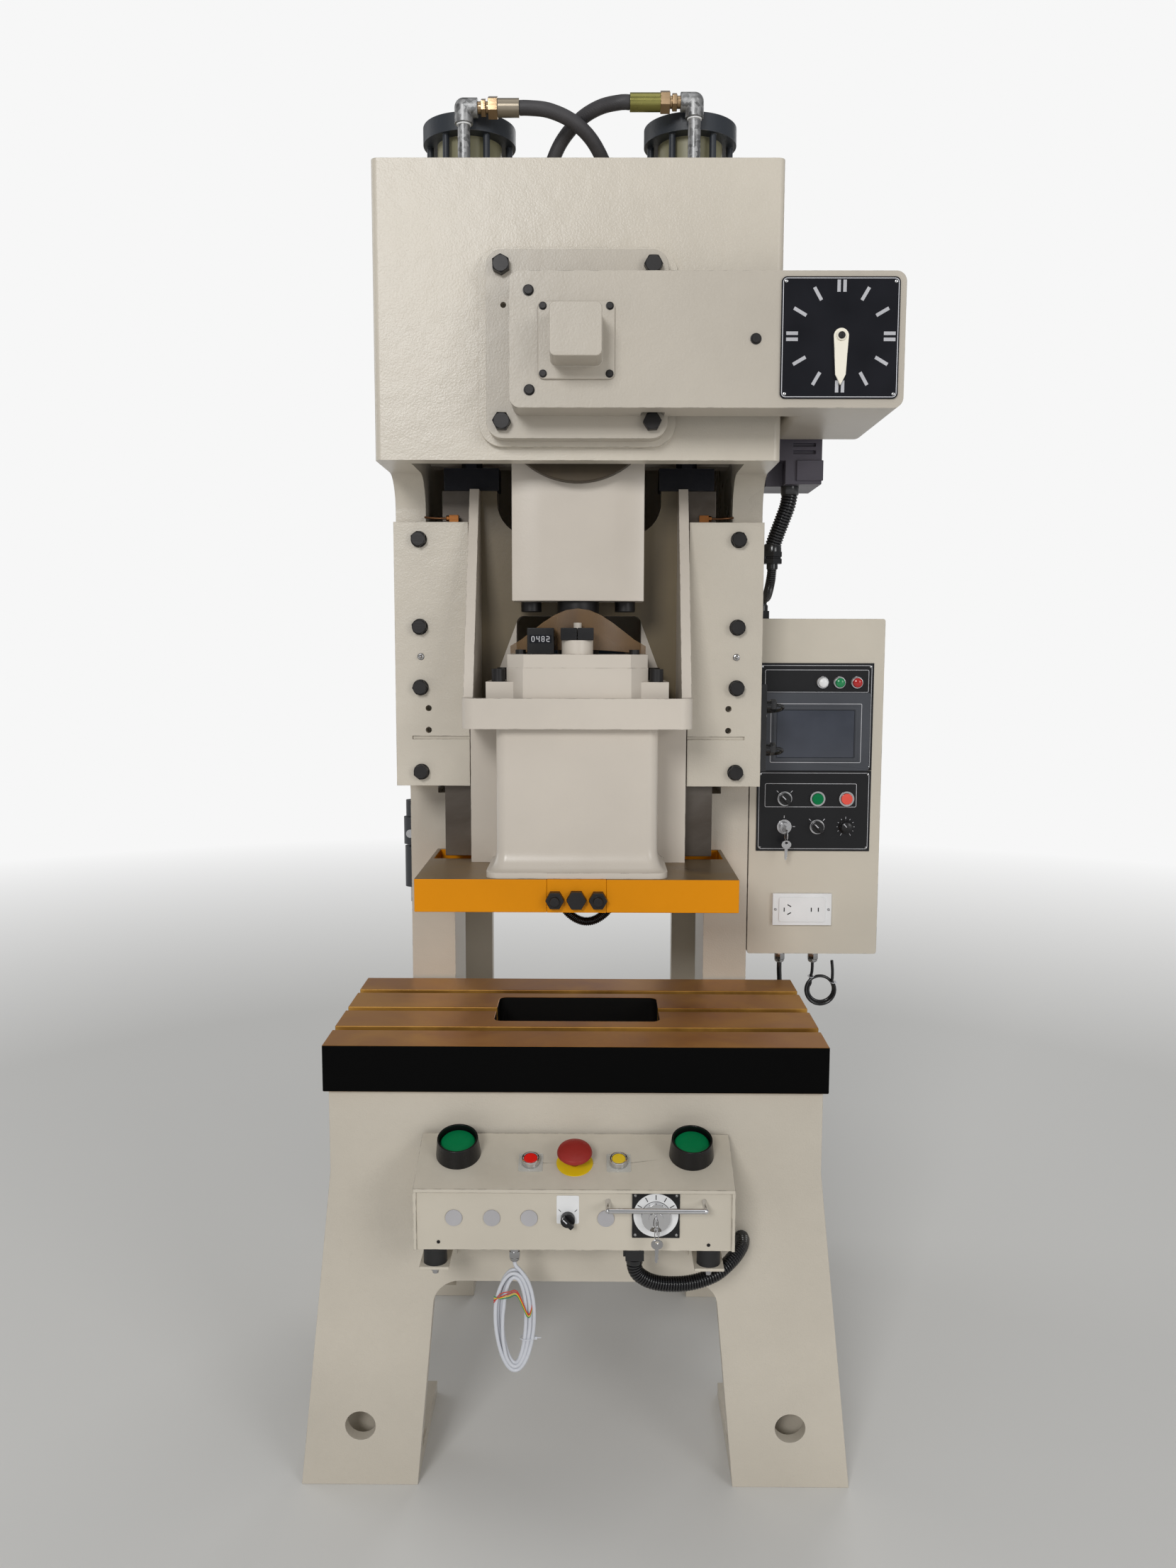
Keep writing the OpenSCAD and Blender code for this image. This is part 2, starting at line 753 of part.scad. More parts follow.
module crankpin() {
    color(dark_steel) pin_y(0, pin_z, pin_r, rod_front - web_gap + soft_gap, rod_back + web_gap - soft_gap);
}

// Plan of the connecting rod with its bevelled front
module rod_plan() {
    flat = rod_w * 0.265;
    polygon([[-rod_w / 2, rod_back], [-rod_w / 2, rod_front + 12], [-flat, rod_front], [flat, rod_front],
             [rod_w / 2, rod_front + 12], [rod_w / 2, rod_back]]);
}

module connecting_rod() {
    color(cream) {
        difference() {
            linear_extrude_z(rod_z, pin_z - rod_split / 2) rod_plan();
            pin_y(0, pin_z, pin_r + bearing_gap, rod_front - 1, rod_back + 1);
            translate([0, die_y, rod_z - 1]) cylinder(r = screw_r + bearing_gap, h = screw_grip + 51);
        }
    }
    color(black) pair() translate([83, die_y, rod_z - 18]) cylinder(r = 18, h = 18);
}

module rod_cap() {
    color(cream) difference() {
        intersection() {
            linear_extrude_z(pin_z + rod_split / 2, pin_z + rod_w / 2) rod_plan();
            pin_y(0, pin_z, rod_w / 2 + 6, rod_front - 1, rod_back + 1);
        }
        pin_y(0, pin_z, pin_r + bearing_gap, rod_front - 1, rod_back + 1);
    }
}

// Upright web of the slide, front edge leaning back
module slide_web() {
    profile(slide_w / 2 - web_w, web_w)
        polygon([[-345, shelf_z + 20], [-345, shelf_top], [-205, wall_top], [wall_y, wall_top], [wall_y, shelf_z + 20]]);
}

module slide() {
    notch_x = 150;
    notch_r = 60;
    color(cream) difference() {
        union() {
            // Rear body between the rails
            bar(-slide_w / 2, slide_w / 2, -225, wall_y + wall_t, slide_z, shelf_z + 20);
            bar(-slide_w / 2, slide_w / 2, wall_y, wall_y + wall_t, shelf_z, wall_top);
            pair() slide_web();
            // Front box with rounded shoulders
            linear_extrude_z(slide_z, shelf_z) front_plan(box_w, box_y, 20);
            front_flare();
            // Shelf
            linear_extrude_z(shelf_z, shelf_top) front_plan(slide_w, -390, 24);
        }
        linear_extrude_z(housing_z, shelf_top + 1) front_plan(slide_w - 2 * web_w, -376, 14, wall_y);
        // Notch that clears the crankshaft's journal
        upright(wall_y - 1, wall_t + 2) polygon(concat(
            [[notch_x, wall_top + 1], [notch_x, wall_top - 20]],
            arc(notch_x - notch_r, wall_top - 20, notch_r, 0, -90),
            [for (p = arc(notch_x - notch_r, wall_top - 20, notch_r, -90, 0)) [-p[0], p[1]]],
            [[-notch_x, wall_top + 1]]
        ));
        // Window behind the adjusting screw
        translate([0, 0, housing_z + 118]) upright(wall_y - 1, wall_t + 2) round_rect(230, 130, 14);
        // Seat of the screw's ball and the shank's upper end
        translate([0, die_y, housing_z - 8]) cylinder(r = ball_r - 8, h = 20);
        translate([0, die_y, slide_z - 1]) cylinder(r = shank_r + 2, h = 16);
    }
}

// Plan shape with rounded front corners, from the front y to the rear body
module front_plan(w, y, r, back = -200) {
    translate([-w / 2, y + r]) square([w, back - y - r]);
    translate([-w / 2 + r, y]) square([w - 2 * r, back - y]);
    for (x = [-1, 1]) translate([x * (w / 2 - r), y + r]) circle(r = r);
}

// Foot of the front box, widening in a hollow curve down to an upright lip
module front_flare() {
    steps = 6;
    lip = 10;
    linear_extrude_z(slide_z, slide_z + lip) front_plan(flare_w, plate_y + 5, 22, -225);
    for (i = [1 : steps]) hull() {
        flare_layer(90 * (i - 1) / steps, lip);
        flare_layer(90 * i / steps, lip);
    }
}

// Thin plan layer of the foot's hollow curve at angle a
module flare_layer(a, lip) {
    grow = 1 - sin(a);
    z = slide_z + lip + (flare_h - lip) * (1 - cos(a));
    linear_extrude_z(z - touch, z) front_plan(box_w + grow * (flare_w - box_w),
        box_y + grow * (plate_y + 5 - box_y), 20 + 2 * grow, -225);
}

module slide_plate() {
    solid_back = plate_y + plate_d - drip_d;
    back = plate_y + plate_d;
    rim = 8;
    color(signal_yellow) difference() {
        bar(-plate_w / 2, plate_w / 2, plate_y, back, face_z, slide_z);
        bar(-plate_w / 2 + rim, plate_w / 2 - rim, solid_back, back - rim, face_z + rim, slide_z + 1);
        bar(-clamp_w / 2 - 0.1, clamp_w / 2 + 0.1, plate_y - 1, die_y, face_z - 1, slide_z + 1);
        translate([0, die_y, face_z - 1]) cylinder(r = shank_r, h = plate_t + 2);
    }
}

module shank_clamp() {
    nut_z = face_z + 23;
    color(signal_yellow) difference() {
        bar(-clamp_w / 2, clamp_w / 2, plate_y, die_y - 1, face_z, slide_z - soft_gap);
        translate([0, die_y, face_z - 1]) cylinder(r = shank_r, h = plate_t + 2);
    }
    color(dark_steel) {
        for (x = [-1, 1]) {
            hex_y(x * stud_x, nut_z, 28, plate_y - 16, plate_y);
            pin_y(x * stud_x, nut_z, 8, plate_y - 27, plate_y - 16);
        }
        hex_y(0, nut_z, 30, plate_y - 14, plate_y);
    }
}

module screw_housing() {
    color(cream) difference() {
        union() {
            linear_extrude_z(housing_z, lid_z) housing_plan(0);
            bar(-ear_w / 2, ear_w / 2, housing_y + 20, housing_back - 30, housing_z, housing_z + ear_h);
            linear_extrude_z(lid_z, lid_top) housing_plan(1);
            translate([0, boss_y, lid_top]) cylinder(r = boss_r, h = boss_h);
            translate([0, boss_y + 14, lid_top + boss_h]) cylinder(r = 7, h = 30);
        }
        // Room for the ball and the neck of the adjusting screw
        translate([0, die_y, housing_z - 1]) cylinder(r = ball_r + soft_gap, h = housing_h + 1 - 8);
        translate([0, die_y, housing_z]) cylinder(r = screw_r + soft_gap, h = housing_h + lid_h + 1);
    }
    color(black) {
        pair() for (y = [housing_y + 34, housing_back - 44])
            translate([ear_w / 2 - 21, y, housing_z + ear_h]) cylinder(r = 12, h = 22);
        pair() translate([98, housing_y + 42, lid_top]) cylinder(r = 9, h = 8);
    }
}

// Plan of the housing with slanting front corners, drawn in by a margin
module housing_plan(margin) {
    w = housing_w / 2 - margin;
    front = housing_front_w / 2 - margin;
    y = housing_y + margin;
    polygon([[-front, y], [front, y], [w, y + housing_slant], [w, housing_back - margin],
             [-w, housing_back - margin], [-w, y + housing_slant]]);
}

module height_counter() {
    counter_y = boss_y - 8;
    color(black) {
        bar(-86, -40, counter_y, counter_y + 34, lid_top, lid_top + 45);
        bar(-28, -0.5, boss_y - 26, boss_y + 6, lid_top + boss_h, lid_top + boss_h + 21);
        bar(0.5, 28, boss_y - 26, boss_y + 6, lid_top + boss_h, lid_top + boss_h + 21);
    }
}

// Leaf-shaped sheet bent round the screw
module screw_guard() {
    sheet_r = 200;
    sheet_y = rod_front - 4.5 + sheet_r;
    half = housing_w / 2 - 2;
    leaf = concat(
        [for (i = [0 : 12]) let (x = -half + i * half / 6)
            [x, lid_top + 14 + 65 * pow(max(0, cos(x * 90 / half)), 1.3)]],
        [for (i = [12 : -1 : 0]) let (x = -half + i * half / 6) [x, lid_top + 8 * cos(x * 90 / half)]]
    );
    color([0.62, 0.42, 0.2, 0.6]) intersection() {
        upright(sheet_y - sheet_r - 1, 80) polygon(leaf);
        difference() {
            translate([0, sheet_y, lid_top]) cylinder(r = sheet_r, h = 90, $fn = 96);
            translate([0, sheet_y, lid_top - 1]) cylinder(r = sheet_r - 2, h = 92, $fn = 96);
        }
    }
}

module adjusting_screw() {
    ball_z = housing_z + 40;
    top = rod_z + screw_grip;
    color(dark_steel) translate([0, die_y, 0]) {
        rotate_extrude() polygon(concat(
            [[0, housing_z + soft_gap], [34, housing_z + soft_gap]],
            [for (a = [-48 : 12 : 36]) [ball_r * cos(a), ball_z + ball_r * sin(a)]],
            [[screw_r, ball_z + ball_r * 0.7], [screw_r, top - 6], [screw_r - 6, top], [0, top]]
        ));
    }
}

module balancer_rods() {
    color(dark_steel) pair() {
        bar(balancer_x / 2 - yoke_w / 2, balancer_x / 2 + yoke_w / 2, wall_y - 6, wall_y + wall_t,
            wall_top, wall_top + yoke_h);
        translate([balancer_x / 2, balancer_y, wall_top + yoke_h]) {
            cylinder(r = 19, h = 22, $fn = 6);
            cylinder(r = balance_rod_r, h = piston_z - wall_top - yoke_h + touch);
        }
        translate([balancer_x / 2, balancer_y, piston_z])
            cylinder(r = cylinder_r - cylinder_wall - bearing_gap, h = piston_h);
    }
}

module balance_cylinders() {
    tie_r = 70;
    sunk = 10;
    screw_seat_z = cylinder_top + cylinder_cap_t - sunk;
    color([0.72, 0.70, 0.58]) pair() translate([balancer_x / 2, balancer_y, 0]) {
        difference() {
            translate([0, 0, cylinder_z]) cylinder(r = cylinder_r, h = cylinder_top - cylinder_z);
            translate([0, 0, cylinder_z + 12])
                cylinder(r = cylinder_r - cylinder_wall, h = cylinder_top - cylinder_z);
            translate([0, 0, cylinder_z - 1]) cylinder(r = balance_rod_r + bearing_gap, h = 20);
        }
    }
    color(dark_steel) pair() translate([balancer_x / 2, balancer_y, 0]) {
        difference() {
            translate([0, 0, cylinder_top]) cylinder(r = cyl_cap_r, h = cylinder_cap_t);
            for (a = [0 : 60 : 300]) rotate(a) translate([tie_r, 0, screw_seat_z]) cylinder(r = 10, h = sunk + 1);
        }
        // Tie rods, each ending in a screw head sunk in the cap
        for (a = [0 : 60 : 300]) rotate(a) translate([tie_r, 0, 0]) {
            translate([0, 0, frame_h]) cylinder(r = 6, h = screw_seat_z - frame_h + 1, $fn = 16);
            translate([0, 0, screw_seat_z]) cylinder(r = 8.5, h = sunk - 2);
        }
    }
}

// Front gearbox and dial

module bearing_cover() {
    color(cream) difference() {
        translate([0, 0, crank_z + 5]) upright(cover_front, cover_t) round_rect(cover_w, cover_h, 26);
        pin_y(0, crank_z, front_journal_r + 1, cover_front - 1, cover_y + 1);
        // Threaded holes for the screws that press the cover off
        pair() pin_y(cover_w / 2 - 28, crank_z + 66, 4.5, cover_front - 1, cover_front + 18);
    }
}

module dial_box() {
    mid_x = (dial_box_x + dial_box_end) / 2;
    len_x = dial_box_end - dial_box_x;
    mid_z = dial_z0 + dial_box_h / 2;
    cam_x = dial_box_end - cam_box_w;
    cam_mid = dial_box_end - cam_box_w / 2;
    inner_h = dial_box_h - 2 * dial_wall;
    color(cream) difference() {
        union() {
            translate([mid_x, 0, mid_z]) upright(dial_front, dial_box_d) round_rect(len_x, dial_box_h, 16);
            translate([cam_mid, 0, mid_z]) upright(dial_back - 1, cam_box_d + 1) round_rect(cam_box_w, dial_box_h, 16);
        }
        translate([mid_x, 0, mid_z]) upright(dial_front + dial_wall, dial_box_d - dial_wall + touch)
            intersection() {
                round_rect(len_x - 2 * dial_wall, inner_h, 10);
                translate([-len_x / 2, -dial_box_h / 2])
                    square([cam_x - dial_box_x + 2 * dial_wall, dial_box_h]);
            }
        // Notch that clears the cover's lower bolt
        pin_y(cover_bolt / 2, crank_z + 5 - cover_bolt / 2, hex_af / 2 + 8, dial_back - 34, dial_back + 1);
        translate([cam_mid, 0, mid_z]) upright(dial_front + dial_wall, dial_box_d + cam_box_d - 2 * dial_wall)
            round_rect(cam_box_w - 2 * dial_wall, inner_h, 10);
        pin_y(dial_x, crank_z, 6 + bearing_gap, dial_front - 1, dial_front + dial_wall + 1);
    }
}

module dial_box_cap() {
    base_w2 = cap_w + 40;
    mid_z = crank_z - 6;
    color(cream) {
        translate([0, 0, mid_z]) upright(dial_front - 5, 5) round_rect(base_w2, base_w2 - 2, 10);
        translate([0, 0, mid_z + 1]) upright(dial_front - cap_out, cap_out - 5) round_rect(cap_w, cap_w, 9);
    }
}

module dial_plate() {
    color(black) difference() {
        translate([dial_x - 1, 0, crank_z - 2]) upright(dial_front - dial_plate_t, dial_plate_t)
            round_rect(dial_w, dial_w, 8);
        pin_y(dial_x, crank_z, 7, dial_front - dial_plate_t - 1, dial_front + 1);
    }
    color(silver) for (i = [0 : 11]) {
        r0 = i % 3 == 0 ? 66 : 62;
        translate([dial_x, 0, crank_z]) rotate([0, 30 * i, 0])
            for (x = i % 3 == 0 ? [-4.5, 4.5] : [0])
                bar(x - 2.6, x + 2.6, dial_front - dial_plate_t - 0.8, dial_front - dial_plate_t, r0, 84);
    }
}

module dial_pointer() {
    tip = pointer_len;
    face = dial_front - dial_plate_t - 2.5;
    color([0.9, 0.87, 0.75]) {
        translate([dial_x, 0, crank_z]) upright(face - 3, 3)
            union() {
                circle(r = 11.5);
                polygon([[-11.5, 0], [11.5, 0], [8, -tip + 16], [0, -tip], [-8, -tip + 16]]);
            }
        pin_y(dial_x, crank_z, 7.5, face - 6, face - 3);
    }
    color(dark_steel) {
        pin_y(dial_x, crank_z, 6, face, dial_back + 40);
        pin_y(dial_x, crank_z, 40, dial_front + dial_wall + 8, dial_front + dial_wall + 16);
    }
}

// Air lines

module air_line(s, bend_z, ferrule) {
    x = s * balancer_x / 2;
    color(silver) {
        translate([x, pipe_y, frame_h]) cylinder(r = pipe_r, h = bend_z - frame_h - 12);
        translate([x, pipe_y, bend_z - 26]) cylinder(r = pipe_r + 5, h = 26);
        translate([x, pipe_y, bend_z]) sphere(r = pipe_r + 5);
        translate([x, pipe_y, bend_z]) rotate([0, -s * 90, 0]) cylinder(r = pipe_r + 5, h = 24);
    }
    color(bronze) translate([x, pipe_y, bend_z]) rotate([0, -s * 90, 0]) {
        cylinder(r = 10, h = union_end - 2);
        translate([0, 0, 30]) cylinder(r = 15, h = 8, $fn = 6);
        translate([0, 0, union_end - 16]) cylinder(r = 19, h = 16, $fn = 6);
    }
    color([0.62, 0.58, 0.4]) translate([x, pipe_y, bend_z]) rotate([0, -s * 90, 0])
        translate([0, 0, union_end]) cylinder(r = 15, h = ferrule);
}

module air_pipes() {
    air_line(-1, frame_h + left_bend, left_ferrule);
    air_line(1, frame_h + right_bend, right_ferrule);
}

module air_hoses() {
    color(black) {
        sweep(left_hose_route, hose_r);
        sweep(right_hose_route, hose_r);
    }
}

module air_unit() {
    x0 = half_w;
    mid_y = 225;
    color(dark_steel) {
        bar(x0 * -1 - 14, -x0, mid_y - 30, mid_y + 30, 960, 1100);
        translate([-x0 - 34, mid_y, 935]) cylinder(r = 20, h = 90);
        translate([-x0 - 34, mid_y, 1030]) cylinder(r = 22, h = 60);
        translate([-x0 - 34, mid_y, 1092]) cylinder(r = 17, h = 35);
        translate([-x0 - 34, mid_y, 1024]) cylinder(r = 12, h = 8);
        translate([-x0 - 34, mid_y, 1088]) cylinder(r = 12, h = 6);
    }
    color(silver) {
        pin_y(-x0 - 34, 1060, 9, mid_y - 60, mid_y + 60);
        translate([-x0 - 34, mid_y, 900]) cylinder(r = 9, h = 35);
    }
}

// Control cabinet

module cabinet_box() {
    x1 = cabinet_x + cabinet_w;
    top = cabinet_z + cabinet_h;
    wall = 3;
    color(cream) {
        difference() {
            translate([(cabinet_x + x1) / 2, 0, (cabinet_z + top) / 2]) upright(column_y, cabinet_d)
                round_rect(cabinet_w, cabinet_h, 5);
            bar(cabinet_x + wall, x1 - wall, column_y + wall, column_y + cabinet_d - wall, cabinet_z + wall, top - wall);
            for (x = cabinet_cords) translate([x, 5, cabinet_z - 1]) cylinder(r = 8, h = wall + 2);
            for (c = concat(push_cells, turn_cells)) pin_y(c[0], c[1], push_r + 1, column_y - 1, column_y + wall + 1);
            translate([362, 6, top - wall - 1]) cylinder(r = 8, h = wall + 2);
            for (i = [0 : 5]) bar(520, 570, 20 + i * 16, 26 + i * 16, cabinet_z - 1, cabinet_z + wall + 1);
        }
        // Bracket bars that carry the cabinet on the side plate
        bar(half_w, half_w + 2, column_y + 60, column_y + 100, cabinet_z + 40, top - 40);
        bar(half_w, x1 - 90, column_y + 150, column_y + 190, cabinet_z - 6, cabinet_z);
    }
}

lamp_cells = [cell_mid + 5, cell_mid + 38, cell_mid + 72];
push_cells = [[cell_mid, row_one], [cell_right, row_one]];
turn_cells = [[cell_left, row_one], [cell_left, row_two], [cell_mid, row_two], [cell_right, row_two]];

module control_panel() {
    x1 = panel_x + panel_w;
    face = column_y - panel_t;
    color(black) {
        bar(panel_x, x1, face, column_y, panel_split + 0.5, panel_top);
        difference() {
            bar(panel_x, x1, face, column_y, panel_low, panel_split - 0.5);
            for (c = push_cells) pin_y(c[0], c[1], push_r + soft_gap, face - 1, column_y + 1);
            for (c = turn_cells) pin_y(c[0], c[1], 5, face - 1, column_y + 1);
        }
    }
    color(silver) {
        for (x = lamp_cells) pin_y(x, panel_top - 38, 9, face - 9, face);
        for (c = push_cells) difference() {
            pin_y(c[0], c[1], push_r + 4, face - 5, face);
            pin_y(c[0], c[1], push_r + soft_gap, face - 6, face + 1);
        }
        for (i = [0 : 2]) let (c = turn_cells[i]) difference() {
            pin_y(c[0], c[1], 14.5, bezel_y, face);
            pin_y(c[0], c[1], 5, bezel_y - 1, face + 1);
        }
    }
    // Plate of the two sockets
    color("white") bar(panel_x + socket_x, panel_x + socket_x + socket_w, column_y - socket_t, column_y,
        cabinet_z + socket_z, cabinet_z + socket_z + socket_h);
}

module touch_screen() {
    face = column_y - panel_t;
    x0 = panel_x + 7;
    z0 = panel_split + 0.5;
    color([0.2, 0.21, 0.23]) difference() {
        translate([x0 + screen_w / 2, 0, z0 + screen_h / 2]) upright(face - 12, 12) round_rect(screen_w, screen_h, 4);
        bar(x0 + 28, x0 + screen_w - 30, face - 13, face - 10, z0 + 26, z0 + 119);
    }
}

module push_button(x, z, colour) {
    face = column_y - panel_t;
    color(colour) {
        pin_y(x, z, push_r, face - 9, column_y + 8);
        pin_y(x, z, push_r - 3, column_y + 8, column_y + 20);
    }
}

module start_button() {
    push_button(cell_mid, row_one, [0.05, 0.55, 0.35]);
}

module halt_button() {
    push_button(cell_right, row_one, [0.85, 0.22, 0.16]);
}

// Rotary knob with a bar grip, on a stub shaft
module selector(x, z, y, turn = 0) {
    color(black) {
        pin_y(x, z, 11.5, y - 12, y - soft_gap);
        translate([x, 0, z]) rotate([0, turn, 0]) bar(-4, 4, y - 22, y - 12, -11, 11);
        pin_y(x, z, 4.7, y - soft_gap, y + 14);
    }
}

module source_selector() {
    selector(cell_left, row_one, bezel_y, -45);
}

module curtain_selector() {
    selector(cell_mid, row_two, bezel_y, -45);
}

// Key barrel with its key hanging from it
module key_barrel(x, z, y, r) {
    color(silver) {
        pin_y(x, z, r, y - 12, y - soft_gap);
        pin_y(x, z, 4.7, y - soft_gap, y + 14);
        bar(x - 1, x + 1, y - 30, y - 12, z - 4, z + 4);
        translate([0, 0, z - 10]) profile(x - 1, 2) translate([y - 34, 0]) circle(r = 9);
    }
}

module power_key() {
    key_barrel(cell_left, row_two, bezel_y, 9.5);
}

module speed_knob() {
    y = column_y - panel_t;
    color(black) {
        pin_y(cell_right, row_two, 12, y - 15, y - soft_gap);
        pin_y(cell_right, row_two, 4.7, y - soft_gap, y + 14);
    }
}

module inverter() {
    x0 = half_w;
    x1 = x0 + inverter_out;
    back = inverter_y + inverter_d;
    top = inverter_z + inverter_h;
    rack_t = 8;
    notch_h = 42;
    vent_z = inverter_z + 54;
    vent_pitch = 13;
    color([0.22, 0.22, 0.25]) {
        // Open rack that carries the inverter on the side plate
        difference() {
            bar(x0, x0 + rack_t, inverter_y, back, inverter_z + 12, top - 5);
            bar(x0 - 1, x0 + rack_t + 1, inverter_y + 20, back - 20, inverter_z + 57, top - 40);
        }
        difference() {
            bar(x0 + rack_t, x1, inverter_y, back, inverter_z, top);
            for (i = [0 : 11]) let (z = vent_z + i * vent_pitch)
                bar(x1 - 52, x1 - 12, inverter_y - 1, inverter_y + 7, z, z + 6);
            bar(x0 + rack_t - 1, x0 + 39, inverter_y - 1, inverter_y + 35, inverter_z - 1, inverter_z + notch_h);
        }
        bar(x1 - 46, x1 + 2, inverter_y - 5, inverter_y, inverter_z + 6, inverter_z + notch_h);
    }
}

// Gland that hangs from a wall at the origin, hex flange up
module gland(r) {
    translate([0, 0, -14]) cylinder(r = r, h = 14, $fn = 6);
    translate([0, 0, -30]) cylinder(r = r - 3, h = 16);
    cylinder(r = r - 4.5, h = 12);
}

module flexible_conduits() {
    color(silver) {
        for (x = cabinet_cords) translate([x, 5, cabinet_z]) gland(12);
        translate([cord_x, cord_y, console_low]) gland(10.2);
    }
    color(black) {
        sweep(console_conduit_route, 12.5);
        sweep(inverter_conduit_route, 15);
        sweep(cabinet_conduit_route, 9);
        sweep(supply_cable_route, 5, 8);
        // Elbow box under the console and the fittings of the upper conduit
        bar(conduit_x - 15, conduit_x + 15, cord_y - 13, cord_y + 15, console_low - 24, console_low);
        translate([360, -137, 1618]) cylinder(r = 19, h = 22, $fn = 6);
        bar(half_w, 345, -149, -125, 1618, 1640);
        translate([362, 6, cabinet_z + cabinet_h]) cylinder(r = 15, h = 16, $fn = 6);
        translate([362, 6, cabinet_z + cabinet_h + 16]) cylinder(r = 11, h = 12);
        // Strip with two sensor plugs beside the gib
        bar(half_w, half_w + 11, -204, -188, 1236, 1396);
        for (z = [1277, 1357]) {
            translate([half_w + 11, -196, z]) rotate([0, 90, 0]) cylinder(r = 9, h = 8);
            translate([half_w + 19, -196, z]) rotate([0, 90, 0]) cylinder(r = 12, h = 10, $fn = 6);
        }
    }
}

module slide_conduit() {
    color(black) sweep(slide_conduit_route, 9);
}

// Loop of unused cable below its gland, its cut end rising at the right
module spare_cable() {
    stub_top = cabinet_z - 30 - soft_gap;
    loop_z = cabinet_z - 88;
    loop_x = cabinet_cords[1] + 16;
    loop_r = 26;
    color(black) {
        translate([loop_x, 5, loop_z]) rotate([90, 0, 0]) rotate_extrude() translate([loop_r, 0]) circle(r = 8, $fn = 24);
        translate([cabinet_cords[1], 5, loop_z + 20]) cylinder(r = 4, h = stub_top - loop_z - 20);
        translate([loop_x + loop_r, 5, loop_z]) cylinder(r = 4, h = 62);
    }
}

module signal_cable() {
    hank_w = 70;
    hank_h = 190;
    color("white") translate([cord_x, 0, console_low - 30 - hank_h / 2 - soft_gap]) difference() {
        upright(cord_y - 8, 16) hank_outline(hank_w, hank_h);
        upright(cord_y - 9, 18) hank_outline(hank_w - 36, hank_h - 36);
    }
}

// Upright outline with round ends
module hank_outline(w, h) {
    square([w, h - w], center = true);
    for (z = [-1, 1]) translate([0, z * (h - w) / 2]) circle(r = w / 2);
}

// Two-hand console

// Moves what follows onto the sloping top, at height 0 on its surface
module on_slope(x, along) {
    translate([x, console_y, console_z]) rotate([slope, 0, 0]) translate([0, along, 0]) children();
}

module console_housing() {
    w = console_w;
    color(cream) {
        difference() {
            profile(-w / 2, w)
                polygon([[console_rear, console_low], [console_rear, console_top], [console_y, console_z],
                         [console_y, console_low]]);
            profile(-w / 2 + console_wall, w - 2 * console_wall)
                polygon([[console_rear + 1, console_low + console_wall], [console_rear + 1, console_top - console_wall],
                         [console_y + console_wall + 3, console_z - console_wall - 1],
                         [console_y + console_wall + 3, console_low + console_wall]]);
            // Recess of the front face
            bar(-w / 2 + 5, w / 2 - 5, console_y - 1, console_y + 3, console_low - 1, console_z - 4);
            for (x = [-1, 1]) on_slope(x * palm_x / 2, palm_along) translate([0, 0, -12]) cylinder(r = 12, h = 24);
            on_slope(0, stop_along) translate([0, 0, -12]) cylinder(r = 9, h = 24);
            for (x = [-72, 72]) on_slope(x, stop_along) translate([0, 0, -12]) cylinder(r = push_r + soft_gap, h = 24);
            pin_y(light_x, plug_z, 5, console_y - 1, console_y + 12);
            pin_y(mode_x, mode_z, 5, console_y - 1, console_y + 12);
            translate([cord_x, cord_y, console_low - 1]) cylinder(r = 6, h = 6);
            translate([conduit_x, cord_y, console_low - 1]) cylinder(r = 10, h = 6);
        }
        // Rings round the two small buttons and the plate of the stop button
        for (x = [-72, 72]) on_slope(x, stop_along) difference() {
            cylinder(r = push_r + 3.5, h = 7);
            translate([0, 0, -1]) cylinder(r = push_r + soft_gap, h = 9);
        }
        on_slope(0, stop_along) difference() {
            cylinder(r = 30, h = 1.2);
            translate([0, 0, -1]) cylinder(r = 9, h = 4);
        }
        // Blanking plugs and the key switch's plate
        for (x = [-193, -132, -72, 51]) pin_y(x, plug_z, 13.5, console_y + 1, console_y + 3);
        difference() {
            bar(mode_x - 38, mode_x + 38, console_y, console_y + 3, mode_z - 38, mode_z + 38);
            pin_y(mode_x, mode_z, 5, console_y - 1, console_y + 4);
        }
    }
    color(silver) {
        handle_y = console_y - 32;
        handle_z = console_z - 20;
        for (x = [mode_x - 77, mode_x + 77]) {
            pin_y(x, handle_z, 4, handle_y, console_y + 3);
            translate([x, handle_y, handle_z]) sphere(r = 4.3, $fn = 24);
        }
        translate([mode_x - 77, handle_y, handle_z]) rotate([0, 90, 0]) cylinder(r = 4, h = 154);
    }
}

module palm_guards() {
    rim = palm_r + 0.7;
    color(black) for (s = [-1, 1]) on_slope(s * palm_x / 2, palm_along) rotate_extrude()
        polygon([[12, 0], [rim + 6.3, 0], [rim + 2.8, 34], [rim, 34], [rim, 4], [12, 4]]);
}

module palm_button(s) {
    color([0.05, 0.45, 0.25]) on_slope(s * palm_x / 2, palm_along) {
        translate([0, 0, 16]) rotate_extrude()
            polygon([[0, 0], [palm_r, 0], [palm_r, 6], [palm_r - 3, 10], [palm_r * 0.5, 12.5], [0, 13]]);
        translate([0, 0, -18]) cylinder(r = 11.5, h = 34 + touch);
    }
}

module palm_button_left() {
    palm_button(-1);
}

module palm_button_right() {
    palm_button(1);
}

module stop_button() {
    color([0.8, 0.1, 0.08]) on_slope(0, stop_along) {
        translate([0, 0, 14]) rotate_extrude()
            polygon([[0, 0], [16, 0], [25, 4], [stop_r, 9], [stop_r - 2, 14], [18, 17.5], [0, 19]]);
        translate([0, 0, -22]) cylinder(r = 8.5, h = 36 + touch);
    }
}

module console_button(x, colour) {
    color(colour) on_slope(x, stop_along) {
        translate([0, 0, -14]) cylinder(r = push_r, h = 25);
    }
}

module red_button() {
    console_button(-72, [0.8, 0.05, 0.05]);
}

